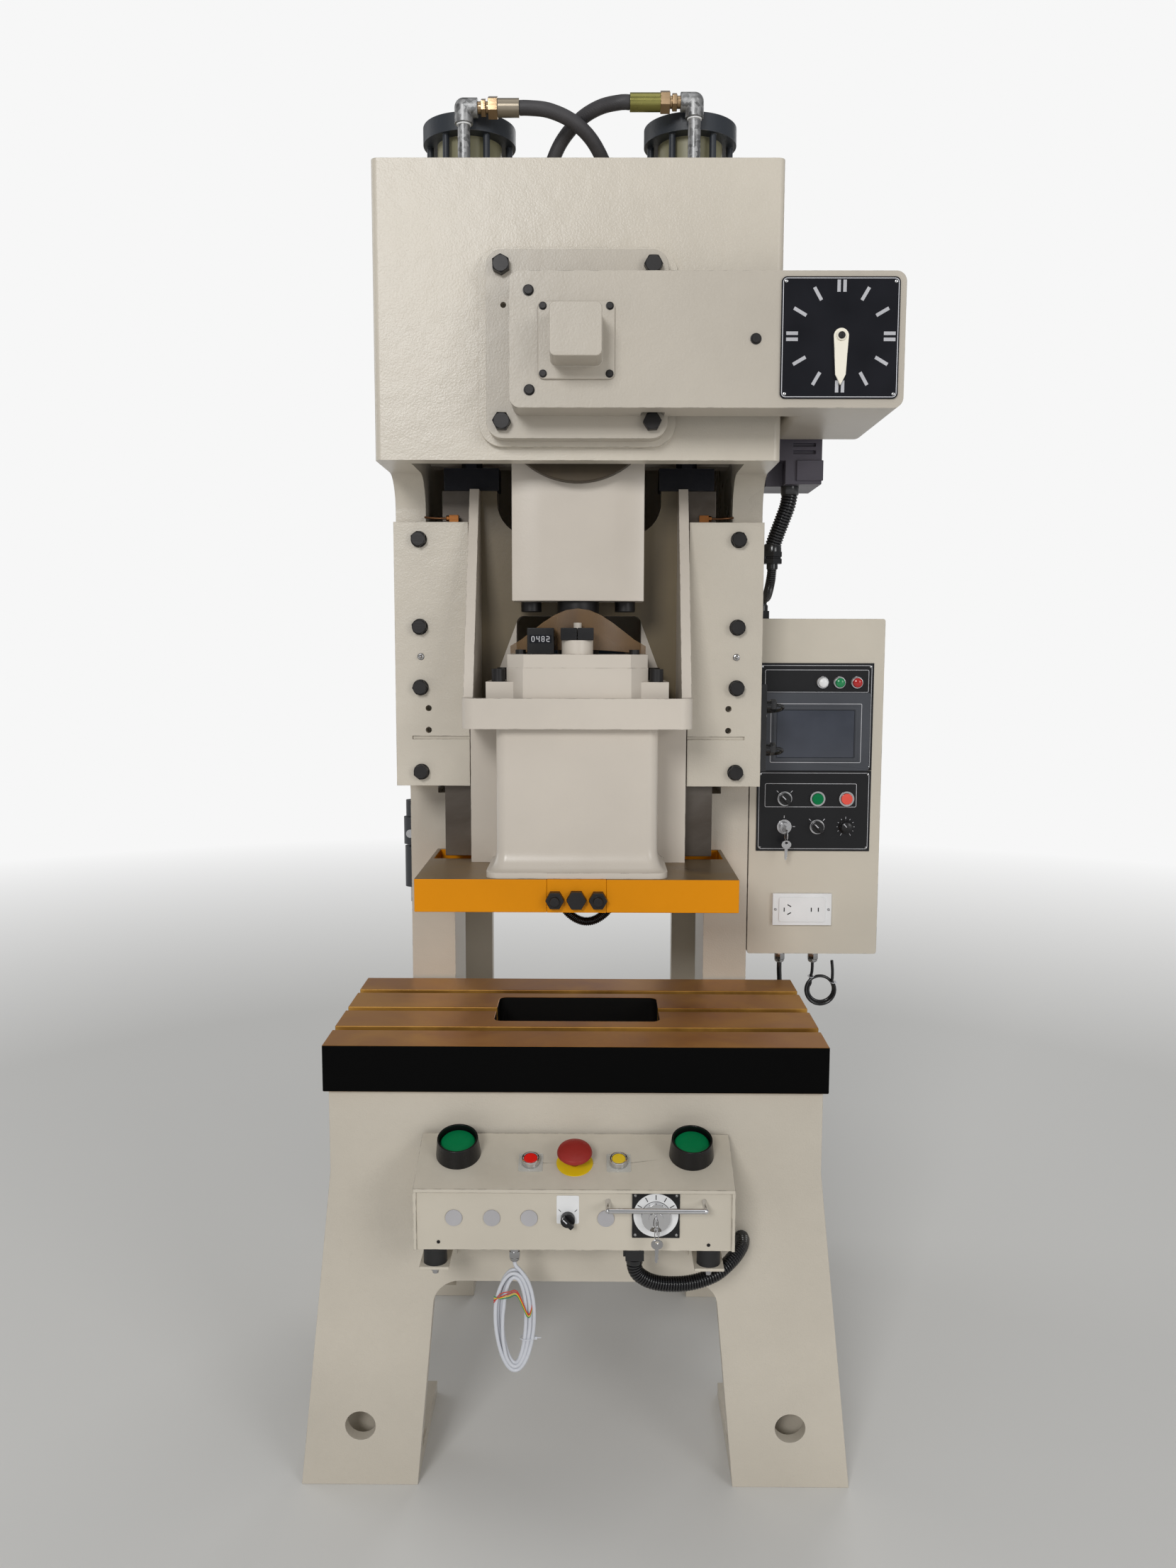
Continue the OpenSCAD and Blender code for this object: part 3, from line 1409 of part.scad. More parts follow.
module yellow_button() {
    console_button(72, [0.85, 0.7, 0.05]);
}

module light_selector() {
    selector(light_x, plug_z, console_y + 3, -45);
}

module mode_key_switch() {
    y = console_y;
    color(silver) {
        pin_y(mode_x, mode_z, 23, y - 12, y - soft_gap);
        pin_y(mode_x, mode_z, 12, y - 18, y - 12);
        pin_y(mode_x, mode_z, 4.7, y - soft_gap, y + 24);
        bar(mode_x - 1, mode_x + 1, y - 30, y - 18, mode_z - 5, mode_z + 5);
        translate([0, 0, mode_z - 6]) profile(mode_x - 1, 2) translate([y - 36, 0]) circle(r = 9);
    }
}

module console_mounts() {
    mount_z = 470;
    bolt_y = cord_y - 1;
    for (x = [-226, 218]) {
        color(black) translate([x, bolt_y, mount_z]) cylinder(r = 19, h = console_low - mount_z);
        color(cream) {
            difference() {
                bar(x - 24, x + 24, bolt_y - 21, base_y, mount_z - 5, mount_z);
                translate([x, bolt_y, mount_z - 6]) cylinder(r = 5, h = 7);
            }
            bar(x - 24, x + 24, base_y - 6, base_y, mount_z - 40, mount_z - 5);
        }
        color(dark_steel) {
            translate([x, bolt_y, mount_z - 20]) cylinder(r = 5, h = 20);
            translate([x, bolt_y, mount_z - 14]) cylinder(r = 9, h = 9, $fn = 6);
        }
    }
}

// Drive at the rear

module flywheel() {
    y1 = flywheel_y + flywheel_w;
    rim = 55;
    color([0.35, 0.36, 0.38]) difference() {
        union() {
            difference() {
                pin_y(0, crank_z, flywheel_r, flywheel_y, y1);
                pin_y(0, crank_z, flywheel_r - rim, flywheel_y - 1, flywheel_y + 40);
                pin_y(0, crank_z, flywheel_r - rim, y1 - 40, y1 + 1);
            }
            pin_y(0, crank_z, hub_r + 45, flywheel_y, y1);
        }
        pin_y(0, crank_z, hub_r + bearing_gap, flywheel_y - 1, y1 + 1);
        for (a = [0 : 60 : 300])
            pin_y(195 * cos(a), crank_z + 195 * sin(a), 42, flywheel_y, y1);
        for (i = [0 : belt_count - 1]) belt_groove(crank_z, flywheel_r, belt_y(i));
    }
}

function belt_y(i) = flywheel_y + flywheel_w / 2 + (i - (belt_count - 1) / 2) * belt_pitch;

module belt_groove(z, r, y) {
    difference() {
        pin_y(0, z, r + 1, y - groove_w / 2, y + groove_w / 2);
        pin_y(0, z, r - groove_d, y - groove_w / 2 - 1, y + groove_w / 2 + 1);
    }
}

module drive_belts() {
    color(black) for (i = [0 : belt_count - 1]) upright(belt_y(i) - belt_w / 2, belt_w) difference() {
        polygon(loop_outline(crank_z, flywheel_r - 1, motor_z, pulley_r - 1, 32));
        polygon(loop_outline(crank_z, flywheel_r - groove_d + 1, motor_z, pulley_r - groove_d + 1, 32));
    }
}

module motor_pulley() {
    y1 = flywheel_y + flywheel_w;
    color(dark_steel) difference() {
        union() {
            pin_y(0, motor_z, pulley_r, flywheel_y + 10, y1 - 10);
            pin_y(0, motor_z, 19, motor_y + motor_len - 60, flywheel_y + 10);
        }
        for (i = [0 : belt_count - 1]) belt_groove(motor_z, pulley_r, belt_y(i));
    }
}

module motor() {
    fin_count = 24;
    y1 = motor_y + motor_len;
    color([0.2, 0.3, 0.42]) difference() {
        union() {
            pin_y(0, motor_z, motor_r - 12, motor_y, y1);
            pin_y(0, motor_z, motor_r, y1 - 30, y1);
            pin_y(0, motor_z, motor_r, motor_y, motor_y + 50);
            for (i = [0 : fin_count - 1]) translate([0, 0, motor_z]) rotate([0, 360 * i / fin_count, 0])
                bar(-2, 2, motor_y + 49, y1 - 29, motor_r - 14, motor_r - 2);
            bar(-95, 95, motor_y + 60, y1 - 40, shelf_plate_z + shelf_plate_t, shelf_plate_z + shelf_plate_t + 14);
            for (x = [-84, 66]) bar(x, x + 18, motor_y + 60, y1 - 40, shelf_plate_z + shelf_plate_t, motor_z - 62);
            bar(-50, 50, motor_y + 90, y1 - 70, motor_z + motor_r - 20, motor_z + motor_r + 35);
        }
        pin_y(0, motor_z, 19 + bearing_gap, y1 - 61, y1 + 1);
    }
}

module flywheel_guard() {
    depth = guard_back - guard_front;
    r1 = flywheel_r + guard_gap;
    r2 = pulley_r + guard_gap;
    vents = 20;
    color(cream) difference() {
        upright(guard_front, depth) polygon(loop_outline(crank_z, r1 + guard_wall, motor_z, r2 + guard_wall, 32));
        upright(guard_front + guard_wall, depth - 2 * guard_wall) polygon(loop_outline(crank_z, r1, motor_z, r2, 32));
        upright(guard_front - 1, guard_wall + 2) polygon(loop_outline(crank_z, r1 - 60, motor_z, r2 - 60, 32));
        for (i = [0 : vents - 1]) translate([0, 0, crank_z]) rotate([0, 360 * i / vents, 0])
            bar(-9, 9, guard_back - guard_wall - 1, guard_back + 1, 150, 300);
    }
}

side_plate_left();
side_plate_right();
head_frame();
base_frame();
rear_frame();
gib_plates();
hex_bolts();
bolster();
crank_bushes();
bearing_cover();
dial_box();
dial_box_cap();
dial_plate();
balance_cylinders();
air_pipes();
air_hoses();
cabinet_box();
control_panel();
touch_screen();
inverter();
flexible_conduits();
air_unit();
motor();
drive_belts();
flywheel_guard();
console_housing();
console_mounts();
palm_guards();
signal_cable();
spare_cable();
crankshaft();
dial_pointer();
connecting_rod();
rod_cap();
crankpin();
slide();
slide_plate();
shank_clamp();
slide_conduit();
slide_rails();
screw_housing();
height_counter();
screw_guard();
balancer_rods();
adjusting_screw();
flywheel();
motor_pulley();
palm_button_left();
palm_button_right();
stop_button();
red_button();
yellow_button();
light_selector();
mode_key_switch();
start_button();
halt_button();
source_selector();
power_key();
curtain_selector();
speed_knob();
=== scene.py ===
import math

import bmesh
import bpy
import numpy as np
from mathutils import Matrix, Vector


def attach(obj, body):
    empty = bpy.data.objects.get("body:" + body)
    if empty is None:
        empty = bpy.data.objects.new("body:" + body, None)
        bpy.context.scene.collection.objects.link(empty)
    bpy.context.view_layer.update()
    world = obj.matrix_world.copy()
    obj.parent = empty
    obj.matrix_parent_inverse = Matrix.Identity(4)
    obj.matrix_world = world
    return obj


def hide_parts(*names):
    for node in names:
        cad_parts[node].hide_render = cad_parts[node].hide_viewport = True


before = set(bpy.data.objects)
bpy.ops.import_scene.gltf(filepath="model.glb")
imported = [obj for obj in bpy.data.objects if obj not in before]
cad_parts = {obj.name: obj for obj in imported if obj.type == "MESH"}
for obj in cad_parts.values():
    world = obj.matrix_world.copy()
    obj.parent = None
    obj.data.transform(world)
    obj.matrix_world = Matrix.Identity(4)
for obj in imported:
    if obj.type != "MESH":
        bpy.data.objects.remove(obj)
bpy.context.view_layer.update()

mm = 0.001
print("press frame loaded")

# camera, solved from the frame's verticals and the bolster's edges; angles in degrees

camera = {"lens": 28.38, "sensor": 36.0, "place": (0.03295, -2.4779, 1.4676),
          "down": 6.432, "left": 0.379, "roll": 0.157}


def makeCamera(plan):
    data = bpy.data.cameras.new("camera")
    data.lens = plan["lens"]
    data.sensor_width = plan["sensor"]
    eye = bpy.data.objects.new("camera", data)
    down, left, roll = (math.radians(plan[key]) for key in ("down", "left", "roll"))
    ahead = Vector((-math.sin(left) * math.cos(down), math.cos(left) * math.cos(down), -math.sin(down)))
    side = Vector((math.cos(left), math.sin(left), 0))
    up = side.cross(ahead)
    right = side * math.cos(roll) + up * math.sin(roll)
    top = up * math.cos(roll) - side * math.sin(roll)
    turn = Matrix((right, top, -ahead)).transposed().to_4x4()
    eye.matrix_world = Matrix.Translation(plan["place"]) @ turn
    bpy.context.scene.collection.objects.link(eye)
    bpy.context.scene.camera = eye


makeCamera(camera)


# mesh helpers, all sizes in millimetres in the press's own frame

toFront, toBack, toTop, toFloor, toRight = (0, -1, 0), (0, 1, 0), (0, 0, 1), (0, 0, -1), (1, 0, 0)


def smoothLine(points, perSpan=8):
    # Catmull-Rom line through the points
    pts = [Vector(p) for p in points]
    pts = [pts[0] * 2 - pts[1], *pts, pts[-1] * 2 - pts[-2]]
    line = []
    for i in range(1, len(pts) - 2):
        a, b, c, d = pts[i - 1:i + 3]
        for k in range(perSpan):
            t = k / perSpan
            line.append(0.5 * (2 * b + (c - a) * t + (2 * a - 5 * b + 4 * c - d) * t * t
                               + (3 * b - a - 3 * c + d) * t ** 3))
    return line + [pts[-2]]


def evenLine(line, step):
    # the same line with points an even step apart
    runs = [0.0]
    for a, b in zip(line, line[1:]):
        runs.append(runs[-1] + (b - a).length)
    count = max(2, int(runs[-1] / step) + 1)
    out, j = [], 0
    for i in range(count):
        s = runs[-1] * i / (count - 1)
        while j < len(runs) - 2 and runs[j + 1] < s:
            j += 1
        share = (s - runs[j]) / max(1e-9, runs[j + 1] - runs[j])
        out.append(line[j].lerp(line[j + 1], min(1, share)))
    return out


def circle(count, wide, high=None, start=0.0):
    # points round a circle or oval, as (across, up) pairs
    turns = [2 * math.pi * (k + start) / count for k in range(count)]
    return [(wide * math.cos(a), (wide if high is None else high) * math.sin(a)) for a in turns]


def hoop(centre, cosPart, sinPart, count):
    # closed line round the centre in space
    turns = [2 * math.pi * k / count for k in range(count + 1)]
    return [Vector([c + p * math.cos(a) + q * math.sin(a) for c, p, q in zip(centre, cosPart, sinPart)])
            for a in turns]


def cornersOf(spot, dx, dz):
    return [(spot[0] + a * dx, spot[1] + b * dz) for a in (-1, 1) for b in (-1, 1)]


def axisTurn(axis):
    return Vector(axis).to_track_quat("Z", "Y").to_matrix().to_4x4()


def turnAt(spot, degrees):
    # turn about the front-to-back line through spot, an (x, z) pair
    x, z = spot
    turn = Matrix.Rotation(math.radians(degrees), 4, "Y")
    return Matrix.Translation((x, 0, z)) @ turn @ Matrix.Translation((-x, 0, -z))


def addLathe(bm, profile, spot, axis=toFront, sides=32, mat=0, loop=False):
    # profile of (radius, height) pairs turned round the axis; six sides make a hex, loop a closed ring
    turn = Matrix.Translation(Vector(spot)) @ axisTurn(axis)
    rings = []
    for r, h in profile:
        points = [(0, 0)] if r < 1e-6 else circle(sides, r, start=0.5)
        rings.append([bm.verts.new(turn @ Vector((a, b, h))) for a, b in points])
    if loop:
        rings.append(rings[0])
    for low, high in zip(rings, rings[1:]):
        for k in range(sides):
            a, b = low[k % len(low)], low[(k + 1) % len(low)]
            c, d = high[(k + 1) % len(high)], high[k % len(high)]
            corners = list(dict.fromkeys([a, b, c, d]))
            if len(corners) > 2:
                bm.faces.new(corners).material_index = mat
    if loop:
        return
    for ring in (rings[0][::-1], rings[-1]):
        if len(ring) > 2:
            bm.faces.new(ring).material_index = mat


def addHexHead(bm, spot, across, high, turn, count=24):
    # hex head with its corners chamfered, standing out to the front from spot
    put = Matrix.Translation(Vector(spot)) @ axisTurn(toFront)
    angles = [2 * math.pi * k / count for k in range(count)]
    reach = [across / 2 / math.cos((a + math.pi / 6) % (math.pi / 3) - math.pi / 6) for a in angles]
    levels = [[(r, 0) for r in reach],
              [(r, high - 0.4 - (r - across / 2) * 0.62) for r in reach],
              [(across * 0.465, high)] * count]
    rings = []
    for level in levels:
        points = [(r * math.cos(a + turn), r * math.sin(a + turn), h) for (r, h), a in zip(level, angles)]
        rings.append([bm.verts.new(put @ Vector(p)) for p in points])
    for low, high in zip(rings, rings[1:]):
        for k in range(count):
            j = (k + 1) % count
            bm.faces.new([low[k], low[j], high[j], high[k]])
    bm.faces.new(rings[-1])


def addBox(bm, low, high, mat=0, turn=None):
    corners = [(x, y, z) for x in (low[0], high[0]) for y in (low[1], high[1]) for z in (low[2], high[2])]
    points = [Vector(c) for c in corners]
    if turn is not None:
        points = [turn @ p for p in points]
    v = [bm.verts.new(p) for p in points]
    for quad in ((0, 1, 3, 2), (4, 6, 7, 5), (0, 4, 5, 1), (2, 3, 7, 6), (0, 2, 6, 4), (1, 5, 7, 3)):
        bm.faces.new([v[i] for i in quad]).material_index = mat


def addTick(bm, spot, degrees, half, reach, depth, mat=0):
    # bar of half width that points away from spot, turned clockwise, from depth's front to its back
    x, z = spot
    addBox(bm, (x - half, depth[0], z + reach[0]), (x + half, depth[1], z + reach[1]), mat,
           turnAt(spot, degrees))


def roundOutline(w, h, r, steps=6):
    out = []
    for cx, cy, start in ((w / 2 - r, h / 2 - r, 0), (r - w / 2, h / 2 - r, 90),
                          (r - w / 2, r - h / 2, 180), (w / 2 - r, r - h / 2, 270)):
        for k in range(steps + 1):
            a = math.radians(start + 90 * k / steps)
            out.append((cx + r * math.cos(a), cy + r * math.sin(a)))
    return out


def addPlate(bm, outline, spot, depth, mat=0, hole=None, turn=None):
    # upright plate from depth's front to its back; hole is an inner outline with as many points
    def loop(points, y):
        found = [Vector((spot[0] + p[0], y, spot[1] + p[1])) for p in points]
        return [bm.verts.new(turn @ p if turn is not None else p) for p in found]
    front, back = loop(outline, depth[0]), loop(outline, depth[1])
    n = len(outline)
    for k in range(n):
        bm.faces.new([front[k], back[k], back[(k + 1) % n], front[(k + 1) % n]]).material_index = mat
    if hole is None:
        bm.faces.new(front).material_index = mat
        bm.faces.new(back[::-1]).material_index = mat
        return
    frontIn, backIn = loop(hole, depth[0]), loop(hole, depth[1])
    for k in range(n):
        j = (k + 1) % n
        bm.faces.new([front[k], front[j], frontIn[j], frontIn[k]]).material_index = mat
        bm.faces.new([back[j], back[k], backIn[k], backIn[j]]).material_index = mat
        bm.faces.new([frontIn[k], frontIn[j], backIn[j], backIn[k]]).material_index = mat


def addFrame(bm, spot, size, line, radii, depth):
    # flat frame, line wide, with its outer and inner corner radius
    w, h = size
    inner = roundOutline(w - 2 * line, h - 2 * line, radii[1], 3)
    addPlate(bm, roundOutline(w, h, radii[0], 3), spot, depth, 0, inner)


def addTube(bm, line, radius, sides=16, mat=0):
    # radius is one number or one for each point of the line
    radii = radius if isinstance(radius, (list, tuple)) else [radius] * len(line)
    last, rings = None, []
    for i, p in enumerate(line):
        t = (line[min(i + 1, len(line) - 1)] - line[max(i - 1, 0)]).normalized()
        seed = last if last is not None else (Vector((0, 0, 1)) if abs(t.z) < 0.9 else Vector((1, 0, 0)))
        u = (seed - t * seed.dot(t)).normalized()
        v = t.cross(u)
        last = u
        turns = [2 * math.pi * k / sides for k in range(sides)]
        rings.append([bm.verts.new(p + radii[i] * (u * math.cos(a) + v * math.sin(a))) for a in turns])
    for a, b in zip(rings, rings[1:]):
        for k in range(sides):
            j = (k + 1) % sides
            bm.faces.new([a[k], b[k], b[j], a[j]]).material_index = mat
    bm.faces.new(rings[0]).material_index = mat
    bm.faces.new(rings[-1][::-1]).material_index = mat


def addCorrugated(bm, points, valley, peak, pitch, sides=20):
    line = evenLine(smoothLine(points), pitch / 4)
    radii = [(valley, peak - 0.2, peak, peak - 0.2)[i % 4] for i in range(len(line))]
    addTube(bm, line, radii, sides)


def finishPiece(bm, name, body, looks, bevel=0.0, sharp=35, hides=()):
    # looks are names in finish, in the order of the faces' material numbers
    bmesh.ops.recalc_face_normals(bm, faces=bm.faces)
    for face in bm.faces:
        face.smooth = True
    for edge in bm.edges:
        if len(edge.link_faces) == 2 and edge.calc_face_angle(0) > math.radians(sharp):
            edge.smooth = False
    for vert in bm.verts:
        vert.co *= mm
    mesh = bpy.data.meshes.new(name)
    bm.to_mesh(mesh)
    bm.free()
    piece = bpy.data.objects.new(name, mesh)
    bpy.context.scene.collection.objects.link(piece)
    for look in looks:
        mesh.materials.append(finish[look])
    if bevel:
        cut = piece.modifiers.new("soft edges", "BEVEL")
        cut.width = bevel * mm
        cut.segments = 2
        cut.limit_method = "ANGLE"
        cut.angle_limit = math.radians(sharp)
        cut.harden_normals = True
    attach(piece, body)
    if hides:
        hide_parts(*hides)
    return piece


# shader helpers

def linear(colour):
    # screen values 0-255 to a shader colour
    found = [c / 255 for c in colour]
    return (*[c / 12.92 if c <= 0.04 else ((c + 0.055) / 1.055) ** 2.4 for c in found], 1.0)


def shade(colour, factor):
    return tuple(min(255, c * factor) for c in colour)


def place(tree, kind, inputs=None, **settings):
    # new node with its settings; an input takes a socket or a value
    node = tree.nodes.new(kind)
    for key, value in settings.items():
        setattr(node, key, value)
    for key, value in (inputs or {}).items():
        if isinstance(value, bpy.types.NodeSocket):
            tree.links.new(value, node.inputs[key])
        else:
            node.inputs[key].default_value = value
    return node


def calc(tree, operation, a, b=0.0, clamp=False):
    return place(tree, "ShaderNodeMath", {0: a, 1: b}, operation=operation, use_clamp=clamp).outputs[0]


def mixColour(tree, factor, a, b):
    return place(tree, "ShaderNodeMix", {0: factor, 6: a, 7: b}, data_type="RGBA").outputs[2]


def twoTones(tree, tone, colour, low, high):
    return mixColour(tree, tone, linear(shade(colour, low)), linear(shade(colour, high)))


def spread(tree, value, low, high, toLow=0.0, toHigh=1.0):
    return place(tree, "ShaderNodeMapRange", {0: value, 1: low, 2: high, 3: toLow, 4: toHigh}).outputs[0]


def onObject(tree):
    return tree.nodes.new("ShaderNodeTexCoord").outputs["Object"]


def faceNormal(tree):
    return tree.nodes.new("ShaderNodeNewGeometry").outputs["Normal"]


def noiseOf(tree, where, scale, detail, **more):
    inputs = {"Vector": where, "Scale": scale, "Detail": detail, **more}
    return place(tree, "ShaderNodeTexNoise", inputs).outputs["Fac"]


def newGroup(name, inputs, outputs):
    # node group with number sockets; inputs come with their usual values
    group = bpy.data.node_groups.new(name, "ShaderNodeTree")
    for label, value in inputs.items():
        socket = group.interface.new_socket(name=label, in_out="INPUT", socket_type="NodeSocketFloat")
        socket.default_value = value
    for label in outputs:
        group.interface.new_socket(name=label, in_out="OUTPUT", socket_type="NodeSocketFloat")
    return group, group.nodes.new("NodeGroupInput").outputs, group.nodes.new("NodeGroupOutput").inputs


def makeSkinGroup():
    # sprayed or cast skin: fine grain, slow waves and a slow change of tone
    inputs = {"Grain": 420.0, "Waves": 30.0, "Cloud": 2.5}
    group, ins, outs = newGroup("pressSkin", inputs, ("Height", "Tone"))
    where = onObject(group)
    fine = noiseOf(group, where, ins["Grain"], 3.0)
    slow = noiseOf(group, where, ins["Waves"], 2.0)
    cloud = noiseOf(group, where, ins["Cloud"], 5.0)
    height = calc(group, "ADD", calc(group, "MULTIPLY", fine, 0.45), slow)
    group.links.new(height, outs["Height"])
    group.links.new(spread(group, cloud, 0.3, 0.7), outs["Tone"])
    return group


def makeEdgeGroup():
    # white where a surface turns sharply, broken up by noise
    group, ins, outs = newGroup("pressEdges", {"Width": 0.002, "Break": 60.0, "Reach": 0.5}, ("Mask",))
    turned = place(group, "ShaderNodeBevel", {"Radius": ins["Width"]}, samples=4).outputs[0]
    inputs = {0: turned, 1: faceNormal(group)}
    along = place(group, "ShaderNodeVectorMath", inputs, operation="DOT_PRODUCT").outputs["Value"]
    noise = noiseOf(group, onObject(group), ins["Break"], 4.0)
    edge = spread(group, along, 0.97, 0.8)
    broken = calc(group, "ADD", edge, spread(group, noise, 0.35, 0.65, -0.6, 0.6))
    kept = calc(group, "SUBTRACT", broken, ins["Reach"], True)
    mask = calc(group, "MULTIPLY", calc(group, "MULTIPLY", kept, edge), 2.2, True)
    group.links.new(mask, outs["Mask"])
    return group


def makeDustGroup():
    # what settles on faces that look up, in patches
    group, ins, outs = newGroup("pressDust", {"Patch": 9.0, "Reach": 0.5}, ("Mask",))
    upward = place(group, "ShaderNodeSeparateXYZ", {0: faceNormal(group)}).outputs["Z"]
    noise = noiseOf(group, onObject(group), ins["Patch"], 6.0, Roughness=0.65)
    patch = calc(group, "MULTIPLY", spread(group, noise, 0.38, 0.7), ins["Reach"])
    mask = calc(group, "MULTIPLY", spread(group, upward, 0.6, 0.95), patch, True)
    group.links.new(mask, outs["Mask"])
    return group


def makeGroundGroup():
    # fine ground or milled lines along one axis, with an oil cloud over them
    group, ins, outs = newGroup("pressGround", {"Lines": 300.0, "Cloud": 6.0}, ("Height", "Oil"))
    where = onObject(group)
    long = place(group, "ShaderNodeMapping", {"Vector": where, "Scale": (0.04, 1.0, 1.0)}).outputs[0]
    group.links.new(noiseOf(group, long, ins["Lines"], 4.0), outs["Height"])
    oil = noiseOf(group, where, ins["Cloud"], 7.0, Roughness=0.6, Distortion=0.6)
    group.links.new(spread(group, oil, 0.35, 0.68), outs["Oil"])
    return group


skinGroup, edgeGroup = makeSkinGroup(), makeEdgeGroup()
dustGroup, groundGroup = makeDustGroup(), makeGroundGroup()


def useGroup(tree, group, **values):
    node = tree.nodes.new("ShaderNodeGroup")
    node.node_tree = group
    for key, value in values.items():
        node.inputs[key].default_value = value
    return node.outputs


def startMaterial(name, roughness, metallic=0.0, specular=0.5, alpha=1.0):
    material = bpy.data.materials.new(name)
    material.use_nodes = True
    tree = material.node_tree
    shader = tree.nodes["Principled BSDF"]
    shader.inputs["Roughness"].default_value = roughness
    shader.inputs["Metallic"].default_value = metallic
    shader.inputs["Specular IOR Level"].default_value = specular
    shader.inputs["Alpha"].default_value = alpha
    return material, tree, shader


def layFinish(tree, shader, colour, roughness, height, strength, distance):
    # strength and distance in metres belong to the bump
    tree.links.new(colour, shader.inputs["Base Color"])
    tree.links.new(roughness, shader.inputs["Roughness"])
    bump = place(tree, "ShaderNodeBump", {"Height": height, "Strength": strength, "Distance": distance})
    tree.links.new(bump.outputs[0], shader.inputs["Normal"])


# finish makers; wear runs from 0 to 1, and more wear reaches further in from the edges

dustColour = (148, 138, 120)
wearStart = 1.25


def paint(name, colour, roughness, grain, waves, bump, lift,
          wear=0.5, bare=(92, 86, 78), dust=0.25, cloud=0.05, specular=0.5):
    material, tree, shader = startMaterial(name, roughness, specular=specular)
    skin = useGroup(tree, skinGroup, Grain=grain, Waves=waves)
    edges = useGroup(tree, edgeGroup, Width=0.0022, Reach=wearStart - wear)["Mask"]
    dusty = useGroup(tree, dustGroup, Reach=dust)["Mask"]
    base = twoTones(tree, skin["Tone"], colour, 1 - cloud, 1 + cloud * 0.6)
    base = mixColour(tree, dusty, base, linear(dustColour))
    base = mixColour(tree, edges, base, linear(bare))
    rough = spread(tree, skin["Tone"], 0, 1, roughness - 0.05, roughness + 0.08)
    rough = calc(tree, "ADD", rough, calc(tree, "MULTIPLY", dusty, 0.4))
    layFinish(tree, shader, base, rough, skin["Height"], bump, lift)
    return material


def metal(name, colour, roughness, metallic, lines, oil, oiliness,
          bump=0.15, wear=0.4, bright=(170, 168, 165)):
    material, tree, shader = startMaterial(name, roughness, metallic)
    ground = useGroup(tree, groundGroup, Lines=lines)
    edges = useGroup(tree, edgeGroup, Width=0.0012, Reach=wearStart - wear)["Mask"]
    base = mixColour(tree, calc(tree, "MULTIPLY", ground["Oil"], oiliness), linear(colour), linear(oil))
    base = mixColour(tree, edges, base, linear(bright))
    rough = spread(tree, ground["Oil"], 0, 1, roughness + 0.08, roughness - 0.08)
    layFinish(tree, shader, base, rough, ground["Height"], bump, 0.0006)
    return material


def plastic(name, colour, roughness, grain, bump, cloud=0.06, wear=0.0, specular=0.5, alpha=1.0):
    material, tree, shader = startMaterial(name, roughness, 0.0, specular, alpha)
    skin = useGroup(tree, skinGroup, Grain=grain, Waves=90.0, Cloud=14.0)
    base = twoTones(tree, skin["Tone"], colour, 1 - cloud, 1 + cloud)
    if wear:
        edges = useGroup(tree, edgeGroup, Width=0.0012, Reach=wearStart - wear)["Mask"]
        base = mixColour(tree, edges, base, linear(shade(colour, 1.8)))
    rough = spread(tree, skin["Tone"], 0, 1, roughness - 0.04, roughness + 0.06)
    layFinish(tree, shader, base, rough, skin["Height"], bump, 0.0004)
    return material


def spangle(name, colour):
    # zinc flowers
    material, tree, shader = startMaterial(name, 0.42, 0.85)
    cells = place(tree, "ShaderNodeTexVoronoi", {"Vector": onObject(tree), "Scale": 160.0}).outputs["Color"]
    tone = place(tree, "ShaderNodeSeparateColor", {0: cells}).outputs[0]
    skin = useGroup(tree, skinGroup, Grain=500.0, Waves=120.0)
    rough = spread(tree, tone, 0, 1, 0.34, 0.55)
    layFinish(tree, shader, twoTones(tree, tone, colour, 0.7, 1.15), rough, skin["Height"], 0.4, 0.0006)
    return material


def wovenRubber(name, colour):
    material, tree, shader = startMaterial(name, 0.55)
    inputs = {"Vector": onObject(tree), "Scale": 260.0, "Distortion": 3.0, "Detail": 2.0}
    weave = place(tree, "ShaderNodeTexWave", inputs, bands_direction="DIAGONAL").outputs["Fac"]
    skin = useGroup(tree, skinGroup, Grain=700.0, Waves=80.0, Cloud=10.0)
    rough = spread(tree, skin["Tone"], 0, 1, 0.45, 0.62)
    height = calc(tree, "ADD", weave, skin["Height"])
    layFinish(tree, shader, twoTones(tree, skin["Tone"], colour, 0.85, 1.2), rough, height, 0.25, 0.0006)
    return material


def amberSheet(name, light, dark, alpha):
    material, tree, shader = startMaterial(name, 0.2, alpha=alpha)
    skin = useGroup(tree, skinGroup, Grain=200.0, Waves=30.0, Cloud=12.0)
    base = mixColour(tree, skin["Tone"], linear(light), linear(dark))
    rough = spread(tree, skin["Tone"], 0, 1, 0.2, 0.4)
    layFinish(tree, shader, base, rough, skin["Height"], 0.25, 0.001)
    return material


